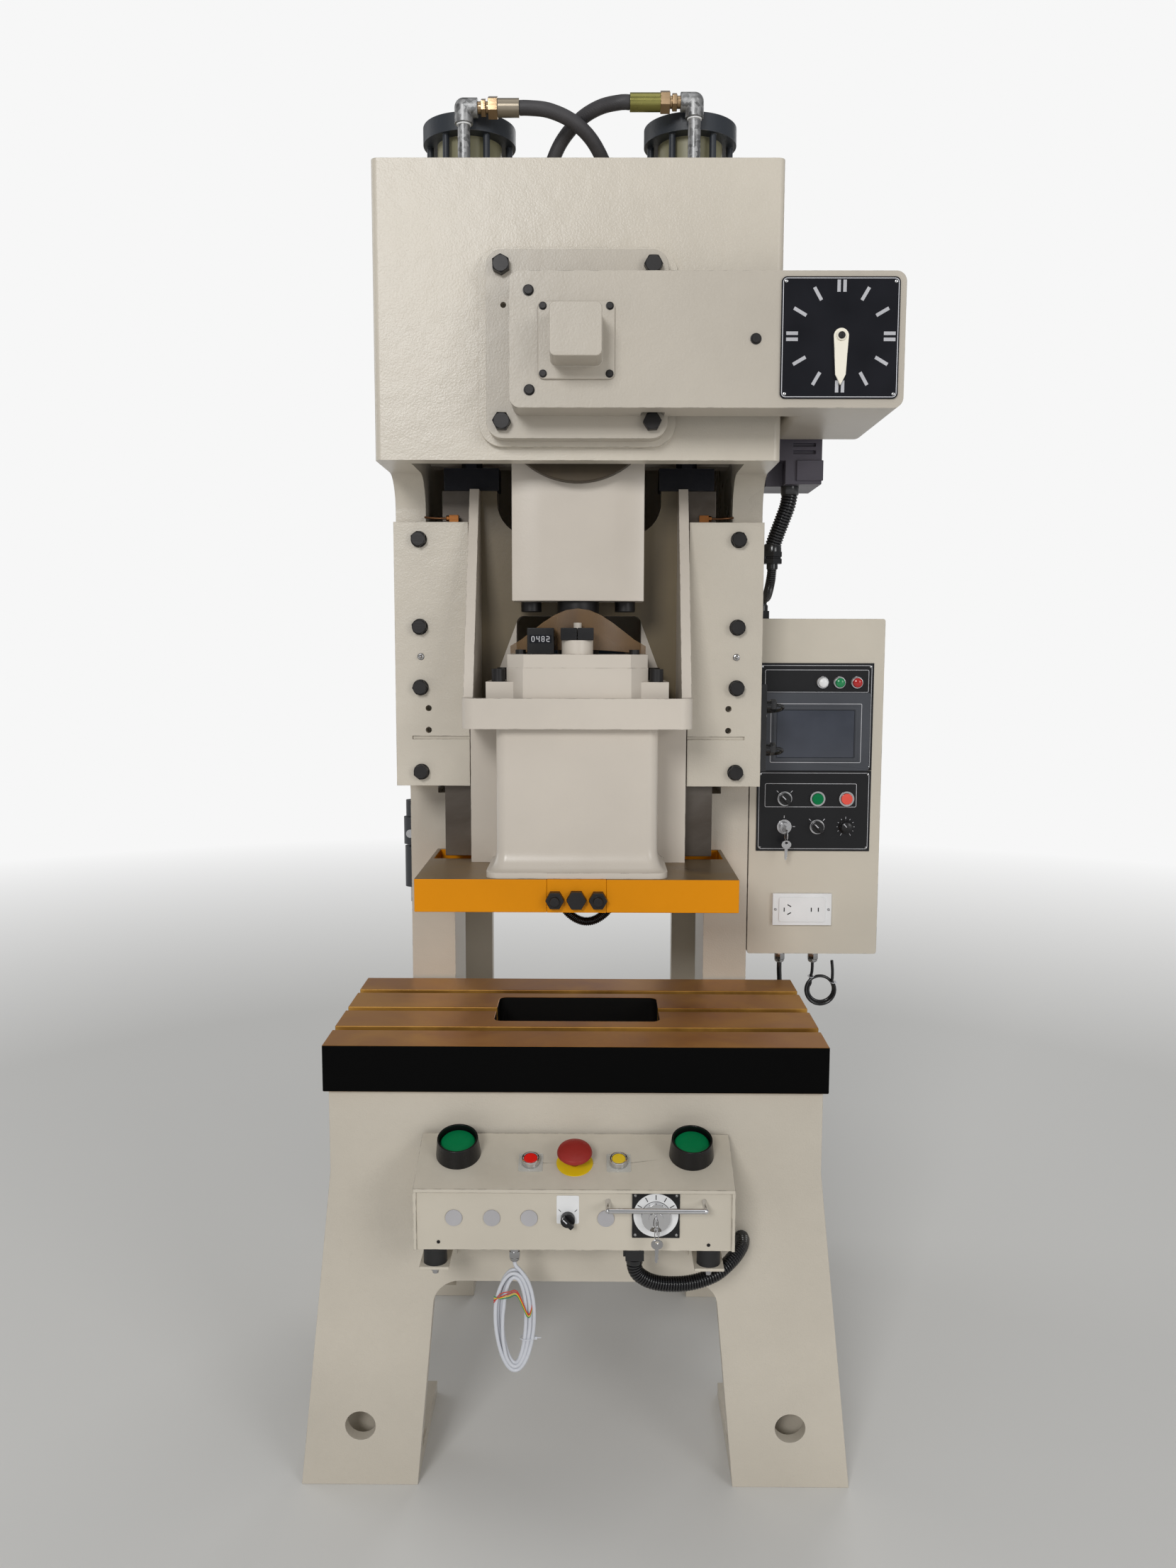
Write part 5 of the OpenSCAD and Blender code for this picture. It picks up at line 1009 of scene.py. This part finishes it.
hoseSet = {
    "radius": 12.0,
    "left": [(-101, -264, 2373), (-86, -264, 2373), (-52, -262, 2370), (-14, -252, 2358), (18, -232, 2338),
             (42, -206, 2308), (58, -170, 2276), (66, -124, 2260), (70, -70, 2259), (72, -20, 2262),
             (72, 20, 2267), (72, 40, 2268), (72, 50, 2260), (72, 50, 2246.3)],
    "right": [(86, -264, 2382), (70, -264, 2382), (36, -248, 2381), (2, -226, 2370), (-30, -203, 2344),
              (-50, -184, 2310), (-62, -156, 2278), (-68, -116, 2261), (-72, -70, 2259), (-72, -20, 2262),
              (-72, 20, 2267), (-72, 40, 2268), (-72, 50, 2260), (-72, 50, 2246.3)]}


def makeHoses(plan):
    bm = bmesh.new()
    for key in ("left", "right"):
        addTube(bm, evenLine(smoothLine(plan[key], 6), 7), plan["radius"], 28)
    finishPiece(bm, "airHoses", "frame", ["hose"], hides=["air_hoses"])


makeConduits(conduitSet)
makeGlands(glandSet)
makeRamConduit(ramConduit)
makeHoses(hoseSet)
print("conduits and hoses run")


# small parts of the cabinet's panels

speedKnob = {"radius": 11.6, "groove": 0.9, "teeth": 20, "depth": (-60, -49.5), "turned": -40}


def makeSpeedKnob(plan):
    x, z = centreOf["speed"]
    count = plan["teeth"] * 4
    bm = bmesh.new()
    outline = []
    for k, (a, b) in enumerate(circle(count, 1)):
        r = plan["radius"] - (plan["groove"] if k % 4 in (1, 2) else 0)
        outline.append((r * a, r * b))
    addPlate(bm, outline, (x, z), plan["depth"])
    addLathe(bm, [(13.5, 0), (13.5, 1.2), (11.8, 2.6)], (x, -47, z), sides=40)
    addLathe(bm, [(10.4, 0), (10.4, 1.6), (9.4, 2.2)], (x, -60, z), sides=40)
    addTick(bm, (x, z), plan["turned"], 0.7, (1, 9.6), (-62.5, -62.1), 1)
    finishPiece(bm, "speedKnob", "speed", ["black", "line"], 0.25, hides=["speed_knob"])


# printed lines: frames are (x, z, width, height), ticks the angles round each switch, scale the knob's own

panelPrint = {"depth": (-47.25, -47.02), "line": 0.8,
              "frames": ((463.5, 1327.75, 217, 202), (463.5, 1141.2, 217, 152), (464.8, 1398, 203, 44),
                         (457.5, 1172.5, 181, 47)),
              "ticks": (("source", (-45, 45)), ("curtain", (-45, 45)), ("key", (0, 90))),
              "scale": range(-150, 151, 30)}


def makePanelPrint(plan):
    bm = bmesh.new()
    for x, z, w, h in plan["frames"]:
        addFrame(bm, (x, z), (w, h), plan["line"], (3, 2.2), plan["depth"])
    for key, angles in plan["ticks"]:
        for angle in angles:
            addTick(bm, centreOf[key], angle, 0.5, (17, 22), plan["depth"])
    for angle in plan["scale"]:
        # longer at both ends and in the middle
        addTick(bm, centreOf["speed"], angle, 0.4, (15.4, 20 if angle % 150 == 0 else 18), plan["depth"])
    finishPiece(bm, "panelPrint", "frame", ["line"])


lampSet = {"y": -47, "z": 1395, "lamps": (("lampWhite", 476, "white", "white_plastic"),
                                          ("lampGreen", 509, "lampGreen", "green_plastic"),
                                          ("lampRed", 543, "lampRed", "red_plastic")),
           "ring": [(12.5, 0), (12.5, 2.0), (11.2, 3.4), (9.3, 3.6), (9.1, 2.0)],
           "lens": [(9.3, 2.0), (9.3, 9.2), (8.6, 10.8), (6.4, 12.0), (3.2, 12.7), (0, 12.9)]}


def makeLamps(plan):
    for name, x, look, slot in plan["lamps"]:
        bm = bmesh.new()
        addLathe(bm, plan["ring"], (x, plan["y"], plan["z"]), sides=40, mat=1)
        addLathe(bm, plan["lens"], (x, plan["y"], plan["z"]), sides=40)
        finishPiece(bm, name, "frame", [look, "steel"])


# pan heads are (x, y, z, radius): panel corners, socket plate, mode plate, dial plate

screwSet = {
    "pan": [*((x, -47, z, 2.6) for x in (357.5, 569.5) for z in (1068, 1214.5, 1229, 1426)),
            *((x, -53, 944, 2.8) for x in (391.5, 497.5)),
            *((x, -590, z, 2.4) for x, z in cornersOf(centreOf["mode"], 33, 33)),
            *((x, -508, z, 2.7) for x, z in cornersOf(centreOf["dial"], 84, 84))],
    # socket heads on the front gearbox, on its square cap's corners, and small screws low on the console
    "gearbox": ((-74, -505, 2009), (-73, -505, 1860), (277, -505, 1937)),
    "gearboxHead": [(8.6, 0), (8.6, 0.9), (7, 1.0), (7, 4.6), (6.2, 5.4), (3.64, 5.4)],
    "gearboxHex": [(3.64, 5.45), (3.5, 1.6), (0, 1.6)],
    "cap": [(x, -510, z) for x, z in cornersOf((0, 1934), 51.5, 50.5)],
    "capHead": [(6.2, 0), (6.2, 0.5), (4.8, 0.6), (4.8, 2.6), (4.2, 3.2), (2.3, 3.2)],
    "capHex": [(2.3, 3.25), (2.2, 1.2), (0, 1.2)],
    "console": ((-218, -587, 513), (216, -587, 510)),
    "consoleHead": [(2.8, 0), (2.8, 0.9), (2.0, 1.8), (0.9, 1.8), (0.8, 1.0), (0, 1.0)]}


def makeScrews(plan):
    bm = bmesh.new()
    for x, y, z, r in plan["pan"]:
        profile = [(r, 0), (r, 0.6), (r * 0.78, 1.3), (r * 0.42, 1.5), (r * 0.36, 0.9), (0, 0.8)]
        addLathe(bm, profile, (x, y, z), sides=20)
    finishPiece(bm, "plateScrews", "frame", ["steel"])
    bm = bmesh.new()
    for kind, sides in (("gearbox", 32), ("cap", 28)):
        for foot in plan[kind]:
            addLathe(bm, plan[kind + "Head"], foot, sides=sides)
            addLathe(bm, plan[kind + "Hex"], foot, sides=6)
    for foot in plan["console"]:
        addLathe(bm, plan["consoleHead"], foot, sides=20)
    finishPiece(bm, "gearboxScrews", "frame", ["bolt"])


# touch screen: glass, step of the bezel, pale line round it and the clips at its left edge

screenSet = {"glass": (151, 92, 1.5), "glassDepth": (-57.9, -57.05), "bezel": (166, 107), "bezelWidth": 5.5,
             "bezelDepth": (-60.1, -58.9), "line": (178, 116), "lineWidth": 1.2, "lineSpot": (462.7, 1296.5),
             "lineDepth": (-59.35, -58.95), "clips": (1262, 1330)}


def makeScreenGlass(plan):
    bm = bmesh.new()
    addPlate(bm, roundOutline(*plan["glass"], 2), centreOf["screen"], plan["glassDepth"])
    finishPiece(bm, "screenGlass", "frame", ["glassDark"], 0.3)
    bm = bmesh.new()
    addFrame(bm, centreOf["screen"], plan["bezel"], plan["bezelWidth"], (3, 2), plan["bezelDepth"])
    for z in plan["clips"]:
        addBox(bm, (354.6, -57, z - 8), (359, -49, z + 8))
        addLathe(bm, [(3.2, 0), (3.2, 1.6), (2.4, 2.2), (0, 2.2)], (363.5, -59, z), sides=20, mat=1)
    finishPiece(bm, "screenBezel", "frame", ["housing", "steel"], 0.5)
    bm = bmesh.new()
    addFrame(bm, plan["lineSpot"], plan["line"], plan["lineWidth"], (2.5, 1.6), plan["lineDepth"])
    finishPiece(bm, "screenLine", "frame", ["tick"])


# socket plate; holes are (right, up, angle) from its middle

socketSet = {"size": (92, 50, 5), "depth": (-55.6, -52.9), "holeDepth": (-55.75, -55.5), "hole": (4.2, 1.1),
             "holes": ((-26, 8, 30), (-26, -8, -30), (-36, 0, 90), (18, 0, 90), (32, 0, 90))}


def makeSocketFace(plan):
    bm = bmesh.new()
    addPlate(bm, roundOutline(*plan["size"]), centreOf["socket"], plan["depth"])
    (front, back), (half, thick) = plan["holeDepth"], plan["hole"]
    for dx, dz, angle in plan["holes"]:
        x, z = centreOf["socket"][0] + dx, centreOf["socket"][1] + dz
        addBox(bm, (x - half, front, z - thick), (x + half, back, z + thick), 1, turnAt((x, z), angle))
    finishPiece(bm, "socketFace", "frame", ["white", "black"], 0.6)


# spare keys, each on a ring that hangs from the key in its lock

keySet = {"panelSpareKey": ("key", (406, -80, 1108)), "consoleSpareKey": ("mode_key", (131, -624, 558)),
          "blade": [(-3.4, 0), (-3.4, -21), (-1.4, -24), (1.0, -22), (1.0, -18), (2.6, -16.5), (1.2, -14),
                    (2.8, -11.5), (1.4, -9), (2.6, -6.5), (2.6, 0)]}


def makeKey(plan, name):
    body, (x, y, z) = plan[name]
    bm = bmesh.new()
    addTube(bm, hoop((x, y, z - 11), (0, 0, 11), (3.5, 3.15, 0), 28), 0.8, 8)
    hole = [(a, 3.4 + b) for a, b in circle(24, 3, 2.2)]
    addPlate(bm, circle(24, 9.5, 8.2), (x + 0.4, z - 29), (y - 1.0, y + 1.0), 0, hole)
    addPlate(bm, plan["blade"][::-1], (x + 0.4, z - 36), (y - 0.9, y + 0.9))
    finishPiece(bm, name, body, ["steel"], 0.2)


# white line on each selector's grip: body, which also names its middle, and the grip's front

markSet = {"sourceMark": ("source", -73.0), "curtainMark": ("curtain", -73.0), "lightMark": ("light", -609.0)}


def makeMarks(plan):
    for name, (body, y) in plan.items():
        bm = bmesh.new()
        addTick(bm, centreOf[body], -45, 0.8, (1.5, 10.2), (y - 0.3, y + 0.1))
        addTick(bm, centreOf[body], -45, 0.8, (10.9, 11.2), (y + 0.6, y + 7))
        finishPiece(bm, name, body, ["line"])


makeSpeedKnob(speedKnob)
makePanelPrint(panelPrint)
makeLamps(lampSet)
makeScrews(screwSet)
makeScreenGlass(screenSet)
makeSocketFace(socketSet)
makeKey(keySet, "panelSpareKey")
makeKey(keySet, "consoleSpareKey")
makeMarks(markSet)
print("panel parts fitted")


# small parts of the console

consoleTrim = {
    "ring": [(14.7, 0.2), (14.7, 10.6), (14.1, 11.6), (12.5, 11.8), (11.5, 11.0), (11.5, 0.2)],
    "legend": (36, 47, 2.5), "legendSpot": (-10, 568.5), "legendDepth": (-588.0, -587.0),
    "scale": (36, 23.4), "scaleDepth": (-590.7, -590.0),
    "clearPlate": (40, 40, 3), "clearDepth": (-1.8, -0.1),
    "lip": ((-257.4, -592.4, 597.6), (257.4, -590.2, 603.2))}


def makeConsoleTrim(plan):
    bm = bmesh.new()
    for side in (-1, 1):
        middle = onSlope(side * slope["ring"], slope["stop"])
        addLathe(bm, plan["ring"], middle, slopeUp, 44, loop=True)
    finishPiece(bm, "buttonRings", "frame", ["chrome"])
    # legend plate behind the light's selector, ring scale of the mode switch
    bm = bmesh.new()
    addPlate(bm, roundOutline(*plan["legend"], 3), plan["legendSpot"], plan["legendDepth"])
    outer, inner = (circle(64, r) for r in plan["scale"])
    addPlate(bm, outer, centreOf["mode"], plan["scaleDepth"], 0, inner)
    for angle in (-60, -30, 0, 30, 60):
        addTick(bm, centreOf["mode"], angle, 0.7, (26, 34), (-590.95, -590.6), 1)
    for angle in (-45, 45):
        addTick(bm, centreOf["light"], angle, 0.5, (15.5, 21), (-588.25, -587.9), 1)
    finishPiece(bm, "consolePlates", "frame", ["white", "black"], 0.3)
    # rolled lip of the top sheet over the front
    bm = bmesh.new()
    addBox(bm, *plan["lip"])
    finishPiece(bm, "consoleLip", "frame", ["sheet"], 0.8)
    # clear square plates under the two button rings
    bm = bmesh.new()
    for side in (-1, 1):
        middle = onSlope(side * slope["ring"], slope["stop"])
        turn = Matrix.Translation(middle) @ Matrix.Rotation(slope["rise"] - math.pi / 2, 4, "X")
        hole = circle(28, 15, start=0.5)
        addPlate(bm, roundOutline(*plan["clearPlate"]), (0, 0), plan["clearDepth"], 0, hole, turn)
    finishPiece(bm, "clearPlates", "frame", ["clear"], 0.3)


makeConsoleTrim(consoleTrim)


# hex bolts of the gibs and of the bearing cover, each turned as its wrench left it, in degrees

boltSet = {
    "gib": {"x": 289, "y": -210, "z": (1234, 1389, 1499, 1656),
            "left": (52, 34, 12, 8), "right": (20, 44, 6, 28), "across": 24.5, "high": 12.4,
            "washer": [(14.6, 0), (14.6, 2.4), (14.0, 3.0)]},
    "cover": {"y": -433, "across": 26.0, "high": 15.8,
              "spots": ((-121, 2066, 2), (121, 2066, 30), (-121, 1824, 28), (121, 1824, 33))}}


def makeFrameBolts(plan):
    bm = bmesh.new()
    gib, cover = plan["gib"], plan["cover"]
    for side, turns in ((-1, gib["left"]), (1, gib["right"])):
        for z, turn in zip(gib["z"], turns):
            x = side * gib["x"]
            addLathe(bm, gib["washer"], (x, gib["y"], z), sides=36)
            addHexHead(bm, (x, gib["y"] - 2.9, z), gib["across"], gib["high"], math.radians(turn))
    for x, z, turn in cover["spots"]:
        addHexHead(bm, (x, cover["y"], z), cover["across"], cover["high"], math.radians(turn))
    finishPiece(bm, "frameBolts", "frame", ["bolt"], sharp=24, hides=["hex_bolts"])


makeFrameBolts(boltSet)


# lubrication blocks with their pipes, grease nipples on the gibs, and tape on the air pipes' threads

oilSet = {"block": 226, "fitting": [(5.4, 0), (5.4, 5), (4.2, 6.4)], "nippleSpot": (288, -210, 1445),
          "nipple": [(5.6, 0), (5.6, 2.4), (3.2, 3.2), (3.2, 6.4), (2.2, 7.6), (2.6, 9.6), (1.4, 10.6)],
          "pipe": ((238, -198, 1694.5), (256, -198, 1694.5), (270, -196, 1695.5), (280.2, -190, 1697)),
          "tape": [(11.2, 0), (12.4, 0.6), (12.6, 2.2), (11.6, 3.4)], "tapeHeights": ((-1, 2344), (1, 2353))}


def makeOilParts(plan):
    bm = bmesh.new()
    for side in (-1, 1):
        middle = side * plan["block"]
        addBox(bm, (middle - 8.5, -206, 1687.2), (middle + 8.5, -190, 1700))
        addLathe(bm, plan["fitting"], (side * 234.4, -198, 1694.5), (side, 0, 0), 6)
        x, y, z = plan["nippleSpot"]
        addLathe(bm, plan["nipple"], (side * x, y, z), sides=18, mat=1)
    finishPiece(bm, "oilBlocks", "frame", ["oilBrass", "steel"], 0.5)
    bm = bmesh.new()
    for side in (-1, 1):
        addTube(bm, smoothLine([(side * x, y, z) for x, y, z in plan["pipe"]], 6), 2.1, 12)
    finishPiece(bm, "oilPipes", "frame", ["copper"])
    bm = bmesh.new()
    for side, z in plan["tapeHeights"]:
        addLathe(bm, plan["tape"], (side * cylinder["x"], cylinder["pipeY"], z), toTop, 28)
    finishPiece(bm, "pipeSeals", "frame", ["white"])


makeOilParts(oilSet)


# height counter's window with plain digits of straight bars

counterFace = {"x": (-84, -42), "y": -351.0, "z": (1470, 1484), "digits": (0, 4, 8, 2),
               "half": (2.7, 4.8), "bar": 1.2}
segments = {0: "abcdef", 2: "abged", 4: "fgbc", 8: "abcdefg"}


def makeCounterFace(plan):
    (x0, x1), (z0, z1), y = plan["x"], plan["z"], plan["y"]
    (w, h), bar = plan["half"], plan["bar"]
    cz = (z0 + z1) / 2
    bars = {"a": (-w, h - bar, w, h), "b": (w - bar, 0, w, h), "c": (w - bar, -h, w, 0),
            "d": (-w, -h, w, bar - h), "e": (-w, -h, bar - w, 0), "f": (-w, 0, bar - w, h),
            "g": (-w, -bar / 2, w, bar / 2)}
    bm = bmesh.new()
    addPlate(bm, roundOutline(x1 - x0 - 4, z1 - z0, 1, 2), ((x0 + x1) / 2, cz), (y - 0.5, y + 0.1))
    wide = (x1 - x0 - 8) / len(plan["digits"])
    for i, digit in enumerate(plan["digits"]):
        cx = x0 + 4 + wide * (i + 0.5)
        for key in segments[digit]:
            a, b, c, d = bars[key]
            addBox(bm, (cx + a, y - 0.75, cz + b), (cx + c, y - 0.45, cz + d), 1)
    finishPiece(bm, "counterWindow", "ram", ["dial", "line"])


makeCounterFace(counterFace)


# slotted screw of the pointer and the thin line round the dial plate

dialTrim = {"screw": [(5.4, 0), (5.4, 1.6), (4.4, 2.6), (0, 3.0)], "screwSpot": (407, -516.5, 1940),
            "slot": ((406.4, -519.7, 1935.6), (407.6, -519.2, 1944.4)),
            "border": (178, 178), "line": 1.0, "radii": (6, 5), "depth": (-508.35, -508.0)}


def makeDialTrim(plan):
    bm = bmesh.new()
    addLathe(bm, plan["screw"], plan["screwSpot"])
    addBox(bm, *plan["slot"], 1)
    finishPiece(bm, "pointerScrew", "pointer", ["bolt", "black"])
    bm = bmesh.new()
    addFrame(bm, centreOf["dial"], plan["border"], plan["line"], plan["radii"], plan["depth"])
    finishPiece(bm, "dialBorder", "frame", ["line"])


makeDialTrim(dialTrim)
print("small parts fitted")


# floor, backdrop and light; lamps are (size, power, place, aim) in metres and watts

stage = {"floor": (214, 213, 210), "radius": 16.0, "fade": (2.6, 7.0), "backdrop": 0.93,
         "world": 0.34, "sky": (0.97, 0.985, 1.0, 1),
         "lamps": {"key": (2.2, 308.0, (-2.2, -8.4, 4.7), (0, -0.2, 1.0)),
                   "fill": (3.0, 140.0, (5.2, -7.4, 3.2), (0, 0, 1.1)),
                   "top": (2.4, 16.0, (0.3, -1.2, 5.2), (0, 0, 1.5)),
                   "rear": (3.6, 100.0, (2.4, 6.4, 4.2), (0, 0, 1.2)),
                   "side": (3.6, 70.0, (-6.6, 2.6, 3.4), (0, 0, 1.2))}}


def makeFloor(plan):
    # pale floor that fades into the backdrop
    bm = bmesh.new()
    bmesh.ops.create_circle(bm, cap_ends=True, segments=96, radius=plan["radius"])
    mesh = bpy.data.meshes.new("floor")
    bm.to_mesh(mesh)
    bm.free()
    floor = bpy.data.objects.new("floor", mesh)
    bpy.context.scene.collection.objects.link(floor)
    material, tree, shader = startMaterial("paleFloor", 0.75)
    shader.inputs["Base Color"].default_value = linear(plan["floor"])
    glow = place(tree, "ShaderNodeEmission", {"Color": (plan["backdrop"],) * 3 + (1,), "Strength": 1.0})
    far = place(tree, "ShaderNodeVectorMath", {0: onObject(tree)}, operation="LENGTH").outputs["Value"]
    fade = spread(tree, far, *plan["fade"])
    mix = place(tree, "ShaderNodeMixShader", {0: fade, 1: shader.outputs[0], 2: glow.outputs[0]})
    tree.links.new(mix.outputs[0], tree.nodes["Material Output"].inputs["Surface"])
    mesh.materials.append(material)


def makeWorld(plan):
    world = bpy.data.worlds.new("studio")
    bpy.context.scene.world = world
    world.use_nodes = True
    tree = world.node_tree
    sky = tree.nodes["Background"]
    sky.inputs["Color"].default_value = plan["sky"]
    sky.inputs["Strength"].default_value = plan["world"]
    seen = place(tree, "ShaderNodeBackground", {"Color": (plan["backdrop"],) * 3 + (1,), "Strength": 1.0})
    path = tree.nodes.new("ShaderNodeLightPath")
    rays = calc(tree, "MAXIMUM", path.outputs["Is Camera Ray"], path.outputs["Is Transmission Ray"])
    mix = place(tree, "ShaderNodeMixShader", {0: rays, 1: sky.outputs[0], 2: seen.outputs[0]})
    tree.links.new(mix.outputs[0], tree.nodes["World Output"].inputs["Surface"])


def makeLights(plan):
    for name, (size, power, foot, aim) in plan["lamps"].items():
        lamp = bpy.data.lights.new(name, "AREA")
        lamp.size = size
        lamp.energy = power
        holder = bpy.data.objects.new(name, lamp)
        holder.location = foot
        holder.rotation_euler = (Vector(aim) - Vector(foot)).to_track_quat("-Z", "Y").to_euler()
        bpy.context.scene.collection.objects.link(holder)


makeFloor(stage)
makeWorld(stage)
makeLights(stage)
bpy.context.scene.view_settings.view_transform = "Standard"
print("stage set")
